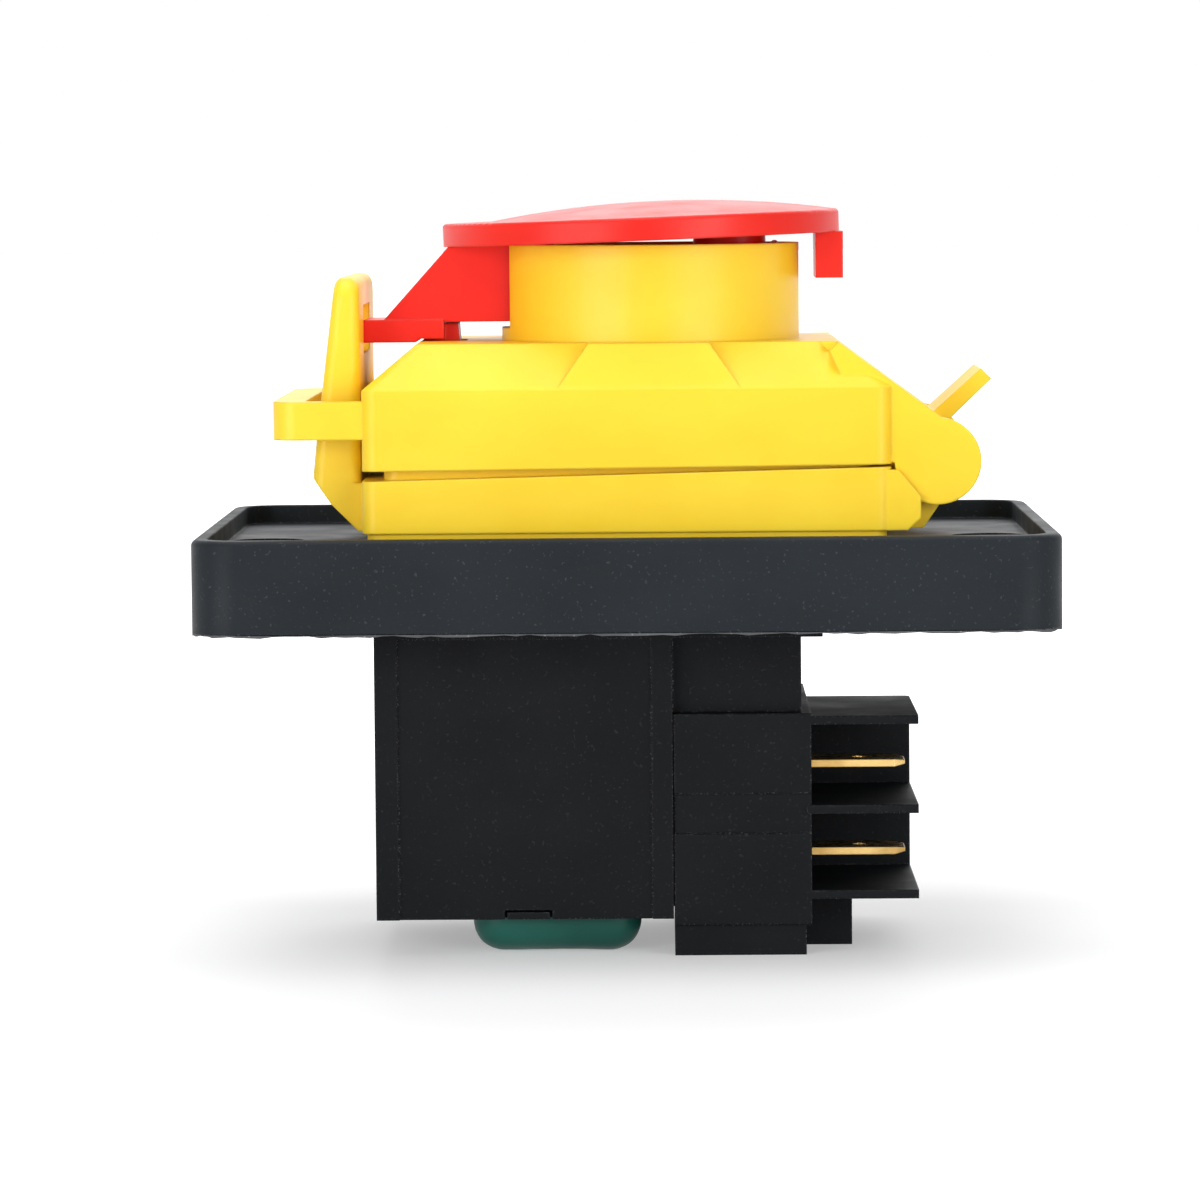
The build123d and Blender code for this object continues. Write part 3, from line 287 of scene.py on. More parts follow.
@dataclass(frozen=True)
class Plastic:
    """A moulded plastic with flow marks, a fine grain and lighter edges: partly rubbed wear,
    partly a painted edge highlight.
    """

    name: str
    slot: Slot
    dark: Colour
    light: Colour
    # The colour of the lighter edges and of the flecks; on the edges it is partly rubbed wear and
    # partly a painted edge highlight
    rubbed_and_highlight: Colour
    roughness: Span = (0.32, 0.46)
    gloss_scale: float = 160.0
    gloss_span: Span = (0.3, 0.7)
    flow_scale: float = 45.0
    flow_stretch: Point = (1.0, 0.6, 1.6)
    flow_span: Span = (0.35, 0.68)
    # Patches along the edges where the lighter colour shows: partly wear, partly painted edge
    # highlight
    rub_highlight_scale: float = 380.0
    rub_highlight_span: Span = (0.4, 0.75)
    rub_highlight_share: Span = (0.05, 0.6)
    grain: float = 0.25
    grain_scale: float = 5200.0
    grain_depth: float = 0.00003
    waves: float = 0.1
    wave_scale: float = 70.0
    wave_depth: float = 0.0004
    glow: float = 0.0
    glow_reach: Point = (0.0018, 0.0010, 0.0004)
    specular: float = 0.5
    edge: float = 0.35 * MM
    flecks: float = 0.0
    fleck_scale: float = 2600.0
    fleck_span: Span = (0.66, 0.78)
    # Light spots along the edges: partly chipped wear, partly a painted edge highlight
    nick_highlights: float = 0.0
    nick_highlight_scale: float = 5200.0
    nick_highlight_span: Span = (0.56, 0.68)
    chipped_and_highlight: Colour = (0.30, 0.31, 0.32)

    def make(self) -> bpy.types.Material:
        """Build the material.

        Returns:
            The finished material.
        """
        nodes = Nodes(self.name)
        shader = nodes.shader
        flow = nodes.noise(self.flow_scale, 4.0, self.flow_stretch)
        colour = nodes.ramp(flow, *self.flow_span, self.dark, self.light)
        rounded = nodes.rounding(self.edge)
        # Edge mask for the lighter edges, which are partly wear and partly a painted edge
        # highlight
        edge_wear_and_highlight = nodes.edges(rounded)
        rub_and_highlight = nodes.add("ShaderNodeMath", operation="MULTIPLY")
        nodes.link(edge_wear_and_highlight, rub_and_highlight.inputs[0])
        patches = nodes.noise(self.rub_highlight_scale, 3.0)
        nodes.link(nodes.span(patches, *self.rub_highlight_span, *self.rub_highlight_share), rub_and_highlight.inputs[1])
        # Lighten the edges: partly rubbed wear, partly a painted edge highlight
        colour = nodes.mix(rub_and_highlight.outputs["Value"], colour, self.rubbed_and_highlight)
        if self.flecks > 0:
            dots = nodes.noise(self.fleck_scale, 1.0)
            spots = nodes.span(dots, *self.fleck_span, 0.0, self.flecks)
            colour = nodes.mix(spots, colour, self.rubbed_and_highlight)
        if self.nick_highlights > 0:
            # Light chips on the edges: partly wear, partly a painted edge highlight
            chips_and_highlight = nodes.add("ShaderNodeMath", operation="MULTIPLY")
            nodes.link(edge_wear_and_highlight, chips_and_highlight.inputs[0])
            dots = nodes.noise(self.nick_highlight_scale, 2.0)
            nodes.link(nodes.span(dots, *self.nick_highlight_span, 0.0, self.nick_highlights), chips_and_highlight.inputs[1])
            colour = nodes.mix(chips_and_highlight.outputs["Value"], colour, self.chipped_and_highlight)
        nodes.link(colour, shader.inputs["Base Color"])
        gloss = nodes.noise(self.gloss_scale, 5.0)
        nodes.link(
            nodes.span(gloss, *self.gloss_span, *self.roughness), shader.inputs["Roughness"]
        )
        wavy = nodes.bump(nodes.noise(self.wave_scale, 1.0), self.waves, self.wave_depth, rounded)
        pits = nodes.noise(self.grain_scale, 2.0)
        nodes.link(
            nodes.bump(pits, self.grain, self.grain_depth, wavy), shader.inputs["Normal"]
        )
        shader.inputs["Specular IOR Level"].default_value = self.specular
        shader.inputs["Subsurface Weight"].default_value = self.glow
        shader.inputs["Subsurface Radius"].default_value = self.glow_reach
        shader.inputs["Subsurface Scale"].default_value = 1.0
        return nodes.material


@dataclass(frozen=True)
class Metal:
    """A metal with drawn or brushed lines and small stains."""

    name: str
    slot: Slot
    dark: Colour
    light: Colour
    roughness: Span = (0.2, 0.38)
    stain_scale: float = 210.0
    stain_span: Span = (0.36, 0.62)
    lines: Point = (1.0, 12.0, 12.0)
    line_scale: float = 260.0
    line_span: Span = (0.3, 0.7)
    scratch: float = 0.3
    scratch_depth: float = 0.00002
    edge: float = 0.15 * MM

    def make(self) -> bpy.types.Material:
        """Build the material.

        Returns:
            The finished material.
        """
        nodes = Nodes(self.name)
        shader = nodes.shader
        stain = nodes.noise(self.stain_scale, 4.0)
        nodes.link(
            nodes.ramp(stain, *self.stain_span, self.dark, self.light),
            shader.inputs["Base Color"],
        )
        shader.inputs["Metallic"].default_value = 1.0
        brushed = nodes.noise(self.line_scale, 3.0, self.lines)
        nodes.link(
            nodes.span(brushed, *self.line_span, *self.roughness), shader.inputs["Roughness"]
        )
        rounded = nodes.rounding(self.edge)
        nodes.link(
            nodes.bump(brushed, self.scratch, self.scratch_depth, rounded),
            shader.inputs["Normal"],
        )
        return nodes.material


@dataclass(frozen=True)
class Layered:
    """Sheets or wire turns side by side: bands across one axis."""

    name: str
    slot: Slot
    dark: Colour
    light: Colour
    axis: Axis
    pitch: float
    metallic: float = 1.0
    band_span: Span = (0.05, 0.5)
    roughness: float = 0.4
    polish: float = 0.08
    dulling: float = 0.12
    stain_scale: float = 300.0
    stain_span: Span = (0.3, 0.7)
    relief: float = 0.6
    depth: float = 0.00008

    def make(self) -> bpy.types.Material:
        """Build the material.

        Returns:
            The finished material.
        """
        nodes = Nodes(self.name)
        shader = nodes.shader
        wave = nodes.add(
            "ShaderNodeTexWave", wave_type="BANDS", bands_direction=self.axis.name
        )
        # The band texture repeats every pi / 10 metres at scale 1
        wave.inputs["Scale"].default_value = math.pi / (10.0 * self.pitch)
        wave.inputs["Distortion"].default_value = 0.0
        nodes.link(nodes.place, wave.inputs["Vector"])
        bands = wave.outputs["Fac"]
        nodes.link(
            nodes.ramp(bands, *self.band_span, self.dark, self.light),
            shader.inputs["Base Color"],
        )
        shader.inputs["Metallic"].default_value = self.metallic
        stain = nodes.noise(self.stain_scale, 4.0)
        finest, roughest = self.roughness - self.polish, self.roughness + self.dulling
        nodes.link(
            nodes.span(stain, *self.stain_span, finest, roughest), shader.inputs["Roughness"]
        )
        nodes.link(nodes.bump(bands, self.relief, self.depth), shader.inputs["Normal"])
        return nodes.material


# Each plastic's third colour lightens its edges: partly rubbed wear, partly a painted edge
# highlight
YELLOW = Plastic(
    "yellow_moulding", Slot.YELLOW, (0.96, 0.64, 0.024), (1.0, 0.72, 0.040), (1.0, 0.82, 0.15),
    roughness=(0.32, 0.44), grain=0.12, waves=0.05, glow=0.1, specular=0.3,
)
RED = Plastic(
    "red_moulding", Slot.RED, (0.74, 0.012, 0.006), (0.86, 0.022, 0.010), (0.93, 0.13, 0.08),
    roughness=(0.3, 0.42), grain=0.1, waves=0.05, glow=0.06, specular=0.25,
)
GREEN = Plastic(
    "green_moulding", Slot.GREEN, (0.012, 0.24, 0.05), (0.02, 0.32, 0.07), (0.12, 0.5, 0.2),
    roughness=(0.3, 0.42), grain=0.12, waves=0.05,
)
# The tray and case edges get light rubbed and chipped marks: partly wear, partly a painted edge
# highlight
TRAY = Plastic(
    "tray_plastic", Slot.TRAY, (0.0075, 0.0105, 0.0135), (0.0115, 0.0155, 0.0195),
    (0.05, 0.054, 0.06),
    roughness=(0.42, 0.58), grain=0.6, grain_scale=3600.0, waves=0.2, specular=0.15, flecks=0.6,
    nick_highlights=0.4,
)
FLASH = Plastic(
    "torn_flash", Slot.TRAY, (0.03, 0.033, 0.036), (0.12, 0.124, 0.13), (0.24, 0.245, 0.25),
    roughness=(0.5, 0.65), grain=0.5, specular=0.3, edge=0.08 * MM, flecks=0.8,
)
CASE = Plastic(
    "case_plastic", Slot.CASE, (0.0035, 0.0042, 0.0052), (0.0065, 0.0075, 0.009),
    (0.04, 0.042, 0.046),
    roughness=(0.42, 0.56), grain=0.8, grain_scale=4200.0, waves=0.15, specular=0.1, flecks=0.3,
    nick_highlights=0.5,
)
BOBBIN = Plastic(
    "bobbin_nylon", Slot.BOBBIN, (0.62, 0.61, 0.56), (0.74, 0.73, 0.69), (0.8, 0.8, 0.78),
    roughness=(0.4, 0.5), grain=0.2, glow=0.15,
)
EPOXY = Plastic(
    "capacitor_epoxy", Slot.CAPACITOR, (0.010, 0.075, 0.058), (0.020, 0.135, 0.105),
    (0.08, 0.22, 0.18), roughness=(0.3, 0.45), grain=0.3, grain_scale=900.0, waves=0.3,
    specular=0.2,
)
BRASS = Metal(
    "terminal_brass", Slot.BRASS, (0.44, 0.27, 0.085), (0.68, 0.47, 0.18),
    roughness=(0.16, 0.34), lines=(1.0, 14.0, 14.0),
)
STEEL = Metal(
    "plated_steel", Slot.STEEL, (0.42, 0.43, 0.45), (0.66, 0.67, 0.69),
    roughness=(0.2, 0.36), lines=(5.0, 5.0, 1.0),
)
LAMINATIONS = Layered(
    "core_laminations", Slot.LAMINATIONS, (0.10, 0.10, 0.11), (0.42, 0.42, 0.44), Axis.Y, 0.0005
)
COPPER = Layered(
    "enamelled_turns", Slot.COPPER, (0.18, 0.05, 0.02), (0.72, 0.30, 0.13), Axis.Z, 0.00028,
    roughness=0.3,
)

Finish = Plastic | Metal | Layered


class Bench:
    """The hand tools that every sub-assembly is made with."""

    # Corners closer than this are one corner
    WELD = 2e-6
    # A face whose normal's Z is past this lies level
    LEVEL = 0.9
    # Edges that turn by more than this stay sharp
    PLAIN_DEGREES = 32.0
    MOULDED_DEGREES = 24.0
    ROUND_DEGREES = 60.0

    def __init__(self) -> None:
        """Lay out an empty bench."""
        self.made: dict[str, bpy.types.Material] = {}

    def material(self, finish: Finish) -> bpy.types.Material:
        """Give a finish's material, built once.

        Args:
            finish: the finish to build.

        Returns:
            Its material.
        """
        if finish.name not in self.made:
            self.made[finish.name] = finish.make()
        return self.made[finish.name]

    def only(self, *pieces: Object) -> None:
        """Select these pieces and nothing else."""
        if bpy.context.object and bpy.context.object.mode != "OBJECT":
            bpy.ops.object.mode_set(mode="OBJECT")
        bpy.ops.object.select_all(action="DESELECT")
        for piece in pieces:
            piece.select_set(True)
        bpy.context.view_layer.objects.active = pieces[0]

    def edit(self, piece: Object) -> None:
        """Open a piece in edit mode, with all of it selected."""
        self.only(piece)
        bpy.ops.object.mode_set(mode="EDIT")
        bpy.ops.mesh.select_all(action="SELECT")

    def close(self) -> None:
        """Leave edit mode."""
        bpy.ops.object.mode_set(mode="OBJECT")

    def pick_faces(self, piece: Object, rule: Callable[[Vector], bool]) -> None:
        """Select the faces that a rule names, with the piece open in edit mode.

        Args:
            piece: the piece in edit mode.
            rule: says yes or no from a face's normal.
        """
        mesh = bmesh.from_edit_mesh(piece.data)
        bpy.ops.mesh.select_mode(type="FACE")
        bpy.ops.mesh.select_all(action="DESELECT")
        for face in mesh.faces:
            if rule(face.normal):
                face.select_set(True)
        bmesh.update_edit_mesh(piece.data)

    def pick_edges(self, piece: Object, rule: Callable[[Vector, Vector], bool]) -> None:
        """Select the edges that a rule names, with the piece open in edit mode.

        Args:
            piece: the piece in edit mode.
            rule: says yes or no from an edge's two ends.
        """
        mesh = bmesh.from_edit_mesh(piece.data)
        bpy.ops.mesh.select_mode(type="EDGE")
        bpy.ops.mesh.select_all(action="DESELECT")
        for edge in mesh.edges:
            if rule(edge.verts[0].co, edge.verts[1].co):
                edge.select_set(True)
        bmesh.update_edit_mesh(piece.data)

    def settle(self, piece: Object) -> None:
        """Put a piece's place into its mesh, so that its object sits at the origin."""
        self.only(piece)
        bpy.ops.object.transform_apply(location=True, rotation=True, scale=True)

    def apply(self, piece: Object, kind: str, **values: object) -> Object:
        """Put a modifier on a piece and apply it.

        Args:
            piece: the piece to change.
            kind: the modifier's type.
            values: its settings.

        Returns:
            The piece.
        """
        self.only(piece)
        modifier = piece.modifiers.new(kind.lower(), kind)
        for key, value in values.items():
            setattr(modifier, key, value)
        bpy.ops.object.modifier_apply(modifier=modifier.name)
        return piece

    def smooth(self, piece: Object, degrees: float = PLAIN_DEGREES) -> Object:
        """Shade a piece smooth, apart from its sharper edges."""
        self.only(piece)
        bpy.ops.object.shade_smooth_by_angle(angle=math.radians(degrees))
        return piece

    def moulding(self, node: str) -> Object:
        """Copy a CAD solid, join its faces and shade it smooth between its edges.

        Args:
            node: the CAD node to copy.

        Returns:
            The new piece, at the CAD node's place.
        """
        source = frame["nodes"][node]
        piece = source.copy()
        piece.data = source.data.copy()
        piece.name = f"{node}_moulded"
        piece.parent = None
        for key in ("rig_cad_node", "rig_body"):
            if key in piece:
                del piece[key]
        bpy.context.scene.collection.objects.link(piece)
        self.edit(piece)
        bpy.ops.mesh.remove_doubles(threshold=self.WELD)
        self.close()
        bpy.ops.mesh.customdata_custom_splitnormals_clear()
        self.smooth(piece, self.MOULDED_DEGREES)
        return self.apply(piece, "WEIGHTED_NORMAL", keep_sharp=True)

    def spring(self, node: str, draw: float) -> Object:
        """Copy a spring, drawn a little short, so that no coil passes the roof above it.

        Args:
            node: the CAD node of the spring.
            draw: its height as a share of the free height.

        Returns:
            The spring.
        """
        spring = self.moulding(node)
        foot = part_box(node)[0].z
        for vertex in spring.data.vertices:
            vertex.co.z = foot + (vertex.co.z - foot) * draw
        return spring

    def dress(self, piece: Object, body: Body, finish: Finish, *nodes: str) -> None:
        """Finish a piece: its material, its body and the CAD nodes that it stands for.

        Args:
            piece: the piece to finish.
            body: the body that it moves with.
            finish: its finish.
            nodes: the CAD nodes that it replaces.
        """
        piece.data.materials.clear()
        piece.data.materials.append(self.material(finish))
        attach(piece, body.value)
        if nodes:
            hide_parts(*nodes)
        LOG.info("%s: %d faces, on %s", piece.name, len(piece.data.polygons), body.value)


BENCH = Bench()


@dataclass
class MountingTray:
    """The black tray with its rim and its two screw recesses."""

    corner: float = 5.0 * MM
    corner_segments: int = 12
    flash_height: float = 0.16 * MM
    flash_step: float = 0.45 * MM
    flash_longest: float = 1.6
    flash_wall: float = 0.12 * MM
    flash_depth: Span = (0.02 * MM, 0.34 * MM)
    flash_carry: float = 0.3
    flash_halvings: int = 6
    flash_seed: int = 11
    level_edge: float = 0.01 * MM
    upright_edge: float = 0.05 * MM

    def flash(self) -> Object:
        """Make the ragged mould flash that hangs from the rim's lower edge.

        Returns:
            The flash.
        """
        low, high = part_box("mounting_tray")
        bpy.ops.mesh.primitive_cube_add(size=1.0, location=(0, 0, low.z))
        ring = bpy.context.object
        ring.name = "tray_flash"
        ring.scale = (high.x - low.x, high.y - low.y, self.flash_height)
        BENCH.settle(ring)
        BENCH.edit(ring)
        BENCH.pick_faces(ring, lambda normal: abs(normal.z) > BENCH.LEVEL)
        bpy.ops.mesh.delete(type="ONLY_FACE")
        BENCH.pick_edges(ring, lambda a, b: abs(a.z - b.z) > self.upright_edge)
        bpy.ops.mesh.bevel(offset=self.corner, segments=self.corner_segments, affect="EDGES")
        longest = self.flash_longest * self.flash_step
        for _ in range(self.flash_halvings):
            BENCH.pick_edges(
                ring,
                lambda a, b: abs(a.z - b.z) < self.level_edge and (a - b).length > longest,
            )
            bpy.ops.mesh.subdivide(number_cuts=1)
        BENCH.close()
        draw = random.Random(self.flash_seed)
        drop = 0.0
        for vertex in ring.data.vertices:
            if vertex.co.z < low.z:
                fresh = draw.uniform(*self.flash_depth)
                drop = self.flash_carry * drop + (1 - self.flash_carry) * fresh
                vertex.co.z = low.z - drop
        BENCH.apply(ring, "SOLIDIFY", thickness=self.flash_wall, offset=-1.0)
        return BENCH.smooth(ring)

    def build(self) -> None:
        """Make the tray and its mould flash."""
        tray = BENCH.moulding("mounting_tray")
        BENCH.dress(tray, Body.HOUSING, TRAY, "mounting_tray")
        BENCH.dress(self.flash(), Body.HOUSING, FLASH)


@dataclass
class BaseFrame:
    """The yellow frame with its tongue and hinge knuckles."""

    def build(self) -> None:
        """Make the frame."""
        base = BENCH.moulding("base_frame")
        BENCH.dress(base, Body.HOUSING, YELLOW, "base_frame")


@dataclass
class Lid:
    """The yellow lid with its collar, catch loop and hinge ears."""

    spring_draw: float = 0.84

    def build(self) -> None:
        """Make the lid, the paddle's pin and its spring."""
        lid = BENCH.moulding("lid")
        BENCH.dress(lid, Body.LID, YELLOW, "lid")
        pin = BENCH.moulding("paddle_pin")
        BENCH.dress(pin, Body.LID, STEEL, "paddle_pin")
        spring = BENCH.spring("paddle_spring", self.spring_draw)
        BENCH.dress(spring, Body.LID, STEEL, "paddle_spring")


@dataclass
class StopPaddle:
    """The red paddle: a domed cap on an arm, with a leg and a pusher post."""

    def build(self) -> None:
        """Make the paddle."""
        paddle = BENCH.moulding("stop_paddle")
        BENCH.dress(paddle, Body.PADDLE, RED, "stop_paddle")


@dataclass
class PushButtons:
    """The button plate with its screws, the two buttons and their springs."""

    dish: float = 0.5 * MM
    mark_height: float = 0.16 * MM
    ring_radius: float = 3.7 * MM
    ring_width: float = 0.9 * MM
    bar_length: float = 6.4 * MM
    bar_width: float = 1.4 * MM
    bar_round: float = 0.12 * MM
    head_height: float = 1.6 * MM
    head_round: float = 0.5 * MM
    slot_width: float = 0.7 * MM
    slot_length: float = 3.2 * MM
    slot_depth: float = 0.7 * MM
    slot_turn: float = 0.4
    shank_radius: float = 1.4 * MM
    shank_round: float = 0.6 * MM
    spring_draw: float = 0.86

    def mark_bar(self) -> Object:
        """Make the start button's raised bar.

        Returns:
            The bar.
        """
        low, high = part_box("start_button")
        middle = (low + high) / 2
        bpy.ops.mesh.primitive_cube_add(
            size=1.0, location=(middle.x, middle.y, high.z - self.dish)
        )
        bar = bpy.context.object
        bar.name = "start_mark"
        bar.scale = (self.bar_width, self.bar_length, 2 * self.mark_height)
        BENCH.settle(bar)
        BENCH.apply(bar, "BEVEL", width=self.bar_round, segments=2, limit_method="ANGLE")
        return BENCH.smooth(bar)

    def mark_ring(self) -> Object:
        """Make the stop button's raised ring.

        Returns:
            The ring.
        """
        low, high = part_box("stop_button")
        middle = (low + high) / 2
        bpy.ops.mesh.primitive_torus_add(
            location=(middle.x, middle.y, high.z - self.dish), major_radius=self.ring_radius,
            minor_radius=self.ring_width / 2, major_segments=72, minor_segments=16,
        )
        ring = bpy.context.object
        ring.name = "stop_mark"
        ring.scale = (1.0, 1.0, 2 * self.mark_height / self.ring_width)
        BENCH.settle(ring)
        return BENCH.smooth(ring, BENCH.ROUND_DEGREES)

    def screw_head(self, x: float, y: float, top: float, radius: float, number: int) -> Object:
        """Make one screw with a domed head and a cross recess.

        Args:
            x: the screw's place along X.
            y: the screw's place along Y.
            top: the height of the head's top.
            radius: the head's radius.
            number: the screw's number, from 1.

        Returns:
            The screw.
        """
        under = top - self.head_height
        bpy.ops.mesh.primitive_cylinder_add(
            vertices=48, radius=radius, depth=self.head_height,
            location=(x, y, top - self.head_height / 2),
        )
        head = bpy.context.object
        head.name = f"plate_screw_{number}"
        BENCH.settle(head)
        BENCH.edit(head)
        BENCH.pick_faces(head, lambda normal: normal.z > BENCH.LEVEL)
        bpy.ops.mesh.bevel(offset=self.head_round, segments=4, affect="EDGES")
        BENCH.close()
        for turn in (0.0, math.pi / 2):
            bpy.ops.mesh.primitive_cube_add(
                size=1.0, location=(x, y, top),
                rotation=(0.0, 0.0, turn + self.slot_turn * number),
            )
            cutter = bpy.context.object
            cutter.scale = (self.slot_length, self.slot_width, 2 * self.slot_depth)
            BENCH.settle(cutter)
            BENCH.apply(head, "BOOLEAN", operation="DIFFERENCE", object=cutter, solver="EXACT")
            bpy.data.objects.remove(cutter)
        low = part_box("plate_screws")[0].z
        bpy.ops.mesh.primitive_cylinder_add(
            vertices=32, radius=self.shank_radius, depth=under - low,
            location=(x, y, (under + low) / 2),
        )
        shank = bpy.context.object
        BENCH.settle(shank)
        BENCH.edit(shank)
        BENCH.pick_faces(shank, lambda normal: normal.z < -BENCH.LEVEL)
        bpy.ops.mesh.bevel(offset=self.shank_round, segments=2, affect="EDGES")
        BENCH.close()
        BENCH.only(head, shank)
        bpy.ops.object.join()
        return BENCH.smooth(head)

    def screws(self) -> None:
        """Make the four plate screws, at the CAD screws' own places."""
        mesh = frame["nodes"]["plate_screws"].data
        corners = [vertex.co for vertex in mesh.vertices]
        top = max(corner.z for corner in corners)
        low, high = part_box("plate_screws")
        middle = (low + high) / 2
        number = 0
        for side_x in (-1, 1):
            for side_y in (-1, 1):
                group = [
                    c for c in corners
                    if (c.x - middle.x) * side_x > 0 and (c.y - middle.y) * side_y > 0
                ]
                xs = [c.x for c in group]
                ys = [c.y for c in group]
                number += 1
                screw = self.screw_head(
                    (min(xs) + max(xs)) / 2, (min(ys) + max(ys)) / 2, top,
                    (max(xs) - min(xs)) / 2, number,
                )
                nodes = ("plate_screws",) if number == 1 else ()
                BENCH.dress(screw, Body.HOUSING, STEEL, *nodes)

    def build(self) -> None:
        """Make the plate, the screws, the buttons, their marks and their springs."""
        plate = BENCH.moulding("button_plate")
        BENCH.dress(plate, Body.HOUSING, CASE, "button_plate")
        self.screws()
        stop = BENCH.moulding("stop_button")
        BENCH.dress(stop, Body.STOP, RED, "stop_button")
        BENCH.dress(self.mark_ring(), Body.STOP, BOBBIN)
        start = BENCH.moulding("start_button")
        BENCH.dress(start, Body.START, GREEN, "start_button")
        BENCH.dress(self.mark_bar(), Body.START, BOBBIN)
        for node in ("stop_spring", "start_spring", "carrier_springs"):
            BENCH.dress(BENCH.spring(node, self.spring_draw), Body.HOUSING, STEEL, node)


@dataclass
class SwitchCase:
    """The black case below the panel, with its floor and the capacitor."""

    voxel: float = 0.45 * MM
    dip: float = 0.28 * MM
    drop_size: float = 4.5 * MM
    fine_size: float = 0.4
    fine_share: float = 0.5
    rounds: int = 12
    seam_overlap: float = 0.15 * MM
    seam_inset: float = 1.2 * MM

    def capacitor(self) -> Object:
        """Make the dipped capacitor, whose coat is uneven.

        Returns:
            The capacitor.
        """
        body = BENCH.moulding("start_capacitor")
        BENCH.apply(body, "REMESH", mode="VOXEL", voxel_size=self.voxel)
        for vertex in body.data.vertices:
            coarse = noise.noise(vertex.co / self.drop_size)
            fine = noise.noise(vertex.co / (self.fine_size * self.drop_size))
            wave = coarse + self.fine_share * fine
            vertex.co -= vertex.normal * self.dip * (0.5 + 0.5 * max(-1.0, min(1.0, wave)))
        BENCH.apply(body, "SMOOTH", iterations=self.rounds, factor=0.5)
        # The smoothing lifts the lower end, so what shows is drawn down to the CAD's depth
        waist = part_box("switch_case")[0].z
        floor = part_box("start_capacitor")[0].z
        lowest = min(vertex.co.z for vertex in body.data.vertices)
        for vertex in body.data.vertices:
            if vertex.co.z < waist:
                vertex.co.z = waist + (vertex.co.z - waist) * (floor - waist) / (lowest - waist)
        return BENCH.smooth(body, BENCH.ROUND_DEGREES)

    def seam(self) -> Object:
        """Make the dark bead that closes the hairline gap between case and terminal block.

        Returns:
            The bead.
        """
        case_low, case_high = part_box("switch_case")
        block_low, block_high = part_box("terminal_block")
        left = block_low.x - self.seam_overlap
        low = max(case_low.z, block_low.z) + self.seam_inset
        high = block_high.z - self.seam_overlap
        half = min(case_high.y, block_high.y) - self.seam_inset
        bpy.ops.mesh.primitive_cube_add(size=1.0, location=(left, 0.0, (low + high) / 2))
        bead = bpy.context.object
        bead.name = "case_seam"
        bead.scale = (4 * self.seam_overlap, 2 * half, high - low)
        BENCH.settle(bead)
        BENCH.apply(bead, "BEVEL", width=self.seam_overlap, segments=2, limit_method="ANGLE")
        return BENCH.smooth(bead)

    def build(self) -> None:
        """Make the case, its cover, the bead in its seam and the capacitor."""
        for node in ("switch_case", "bottom_cover"):
            BENCH.dress(BENCH.moulding(node), Body.HOUSING, CASE, node)
        BENCH.dress(self.seam(), Body.HOUSING, CASE)
        BENCH.dress(self.capacitor(), Body.HOUSING, EPOXY, "start_capacitor")


@dataclass
class Terminals:
    """The terminal block, its foot and the four brass blades."""

    coined: float = 0.5
    tip_reach: float = 0.01 * MM

    def blade(self, node: str) -> Object:
        """Copy a blade and coin its tip thin, so that a receptacle slides on.

        Args:
            node: the CAD node of the blade.

        Returns:
            The blade.
        """
        blade = BENCH.moulding(node)
        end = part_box(node)[1].x - self.tip_reach
        tip = [vertex for vertex in blade.data.vertices if vertex.co.x > end]
        middle = sum(vertex.co.z for vertex in tip) / len(tip)
        for vertex in tip:
            vertex.co.z = middle + (vertex.co.z - middle) * self.coined
        return blade

    def build(self) -> None:
        """Make the block, its foot and the blades."""
        for node in ("terminal_block", "terminal_base"):
            BENCH.dress(BENCH.moulding(node), Body.HOUSING, CASE, node)
        for side in ("front", "back"):
            for level in ("upper", "lower"):
                node = f"blade_{side}_{level}"
                BENCH.dress(self.blade(node), Body.HOUSING, BRASS, node)


@dataclass
class Magnet:
    """The holding magnet: its core, coil and shading rings."""

    def build(self) -> None:
        """Make the fixed half of the magnet."""
        finishes = {
            "magnet_core": LAMINATIONS,
            "coil_bobbin": BOBBIN,
            "coil_winding": COPPER,
            "shading_rings": BRASS,
            "stop_contacts": BRASS,
        }
        for node, finish in finishes.items():
            BENCH.dress(BENCH.moulding(node), Body.HOUSING, finish, node)


@dataclass
class ContactCarrier:
    """The carrier with its armature and contact bridges, and the stop bridge."""

    def build(self) -> None:
        """Make the moving contacts."""
        finishes = {
            "contact_carrier": CASE,
            "armature": LAMINATIONS,
            "bridge_upper": BRASS,
            "bridge_lower": BRASS,
        }
        for node, finish in finishes.items():
            BENCH.dress(BENCH.moulding(node), Body.CARRIER, finish, node)
        bridge = BENCH.moulding("stop_bridge")
        BENCH.dress(bridge, Body.STOP, BRASS, "stop_bridge")


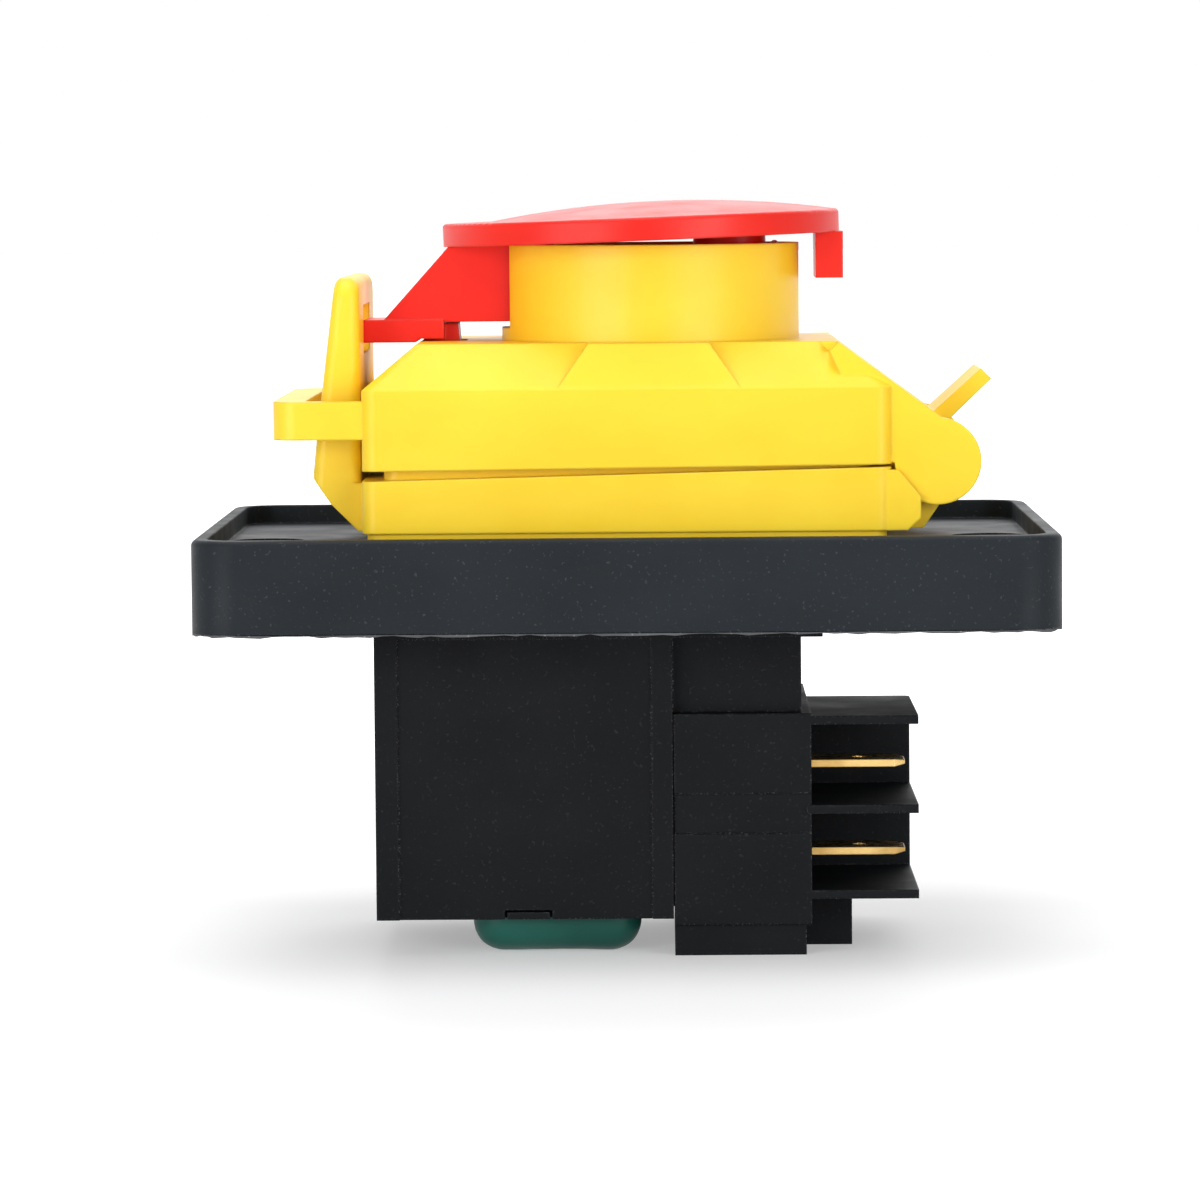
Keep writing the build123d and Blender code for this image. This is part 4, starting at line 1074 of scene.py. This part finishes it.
@dataclass
class Studio:
    """The white floor, the soft lamps and the camera of the photograph."""

    floor_z: float = -36.5 * MM
    floor_size: float = 12.0
    floor_colour: Colour = (0.72, 0.72, 0.73)
    floor_roughness: float = 0.6
    # The floor's glow grows over this stretch of distance from the object
    floor_fade: Span = (0.06, 0.35)
    floor_glow: Span = (0.33, 1.0)
    camera_place: Point = (3.96 * MM, -604.1 * MM, 47.46 * MM)
    sensor: float = 36.0
    lens: float = 163.32
    view_range: Span = (0.01, 100.0)
    down_deg: float = 4.396
    left_deg: float = 0.675
    roll_deg: float = 0.487
    world_light: float = 0.32
    lamps: Sequence[tuple[Point, float, float]] = field(
        default_factory=lambda: (
            ((-0.05, -0.10, 0.62), 0.55, 2.4),
            ((-0.42, -0.60, 0.05), 0.45, 3.5),
            ((0.45, -0.60, 0.06), 0.45, 3.0),
            ((0.10, 0.60, 0.45), 0.60, 1.6),
        )
    )

    def seen_rays(self, tree: bpy.types.NodeTree) -> bpy.types.NodeSocket:
        """Tell the rays that see the background apart from those that light the object.

        Args:
            tree: the node tree that asks.

        Returns:
            A socket that is 1 for camera, glossy and transmission rays.
        """
        path = tree.nodes.new("ShaderNodeLightPath")
        mirror = tree.nodes.new("ShaderNodeMath")
        mirror.operation = "MAXIMUM"
        tree.links.new(path.outputs["Is Glossy Ray"], mirror.inputs[0])
        tree.links.new(path.outputs["Is Transmission Ray"], mirror.inputs[1])
        seen = tree.nodes.new("ShaderNodeMath")
        seen.operation = "MAXIMUM"
        tree.links.new(path.outputs["Is Camera Ray"], seen.inputs[0])
        tree.links.new(mirror.outputs["Value"], seen.inputs[1])
        return seen.outputs["Value"]

    def floor(self) -> None:
        """Lay the floor, white to the camera, with the object's shadow."""
        bpy.ops.mesh.primitive_plane_add(size=self.floor_size, location=(0, 0, self.floor_z))
        floor = bpy.context.object
        floor.name = "studio_floor"
        nodes = Nodes("floor_white")
        nodes.shader.inputs["Base Color"].default_value = (*self.floor_colour, 1.0)
        nodes.shader.inputs["Roughness"].default_value = self.floor_roughness
        emit = nodes.add("ShaderNodeEmission")
        emit.inputs["Color"].default_value = WHITE
        away = nodes.add("ShaderNodeVectorMath", operation="LENGTH")
        nodes.link(nodes.place, away.inputs[0])
        strength = nodes.add("ShaderNodeMath", operation="MULTIPLY")
        nodes.link(self.seen_rays(nodes.tree), strength.inputs[0])
        nodes.link(
            nodes.span(away.outputs["Value"], *self.floor_fade, *self.floor_glow),
            strength.inputs[1],
        )
        nodes.link(strength.outputs["Value"], emit.inputs["Strength"])
        both = nodes.add("ShaderNodeAddShader")
        nodes.link(nodes.shader.outputs["BSDF"], both.inputs[0])
        nodes.link(emit.outputs["Emission"], both.inputs[1])
        nodes.link(both.outputs["Shader"], nodes.tree.nodes["Material Output"].inputs["Surface"])
        floor.data.materials.append(nodes.material)

    def world(self) -> None:
        """Set a soft white surround."""
        world = bpy.data.worlds.new("studio_world")
        bpy.context.scene.world = world
        world.use_nodes = True
        tree = world.node_tree
        back = tree.nodes["Background"]
        back.inputs["Color"].default_value = WHITE
        level = tree.nodes.new("ShaderNodeMapRange")
        level.inputs["To Min"].default_value = self.world_light
        level.inputs["To Max"].default_value = 1.0
        tree.links.new(self.seen_rays(tree), level.inputs["Value"])
        tree.links.new(level.outputs["Result"], back.inputs["Strength"])

    def light(self) -> None:
        """Hang the soft lamps, each turned to the object."""
        for number, (place, size, power) in enumerate(self.lamps, 1):
            data = bpy.data.lights.new(f"lamp_{number}", "AREA")
            data.shape = "SQUARE"
            data.size = size
            data.energy = power
            lamp = bpy.data.objects.new(f"lamp_{number}", data)
            lamp.location = place
            lamp.rotation_euler = (-Vector(place)).to_track_quat("-Z", "Y").to_euler()
            bpy.context.scene.collection.objects.link(lamp)

    def camera(self) -> None:
        """Set the camera where the photograph was taken from."""
        data = bpy.data.cameras.new("camera")
        data.sensor_fit = "HORIZONTAL"
        data.sensor_width = self.sensor
        data.lens = self.lens
        data.clip_start, data.clip_end = self.view_range
        ahead = Vector(
            (-math.tan(math.radians(self.left_deg)), 1.0, -math.tan(math.radians(self.down_deg)))
        ).normalized()
        right = ahead.cross(Vector((0, 0, 1))).normalized()
        up = right.cross(ahead)
        roll = math.radians(self.roll_deg)
        turned_up = up * math.cos(roll) + right * math.sin(roll)
        turned_right = right * math.cos(roll) - up * math.sin(roll)
        turn = Matrix((turned_right, turned_up, -ahead)).transposed()
        camera = bpy.data.objects.new("camera", data)
        camera.matrix_world = Matrix.Translation(self.camera_place) @ turn.to_4x4()
        bpy.context.scene.collection.objects.link(camera)
        bpy.context.scene.camera = camera

    def build(self) -> None:
        """Set up the whole studio."""
        bpy.context.scene.view_settings.view_transform = "Standard"
        self.floor()
        self.world()
        self.light()
        self.camera()


def main() -> None:
    """Build every sub-assembly and the studio."""
    logging.basicConfig(level=logging.INFO, format="%(message)s")
    parts = (
        MountingTray(), BaseFrame(), Lid(), StopPaddle(), PushButtons(), SwitchCase(),
        Terminals(), Magnet(), ContactCarrier(), Studio(),
    )
    for part in parts:
        LOG.info("building %s", type(part).__name__)
        part.build()


if __name__ == "__main__":
    main()
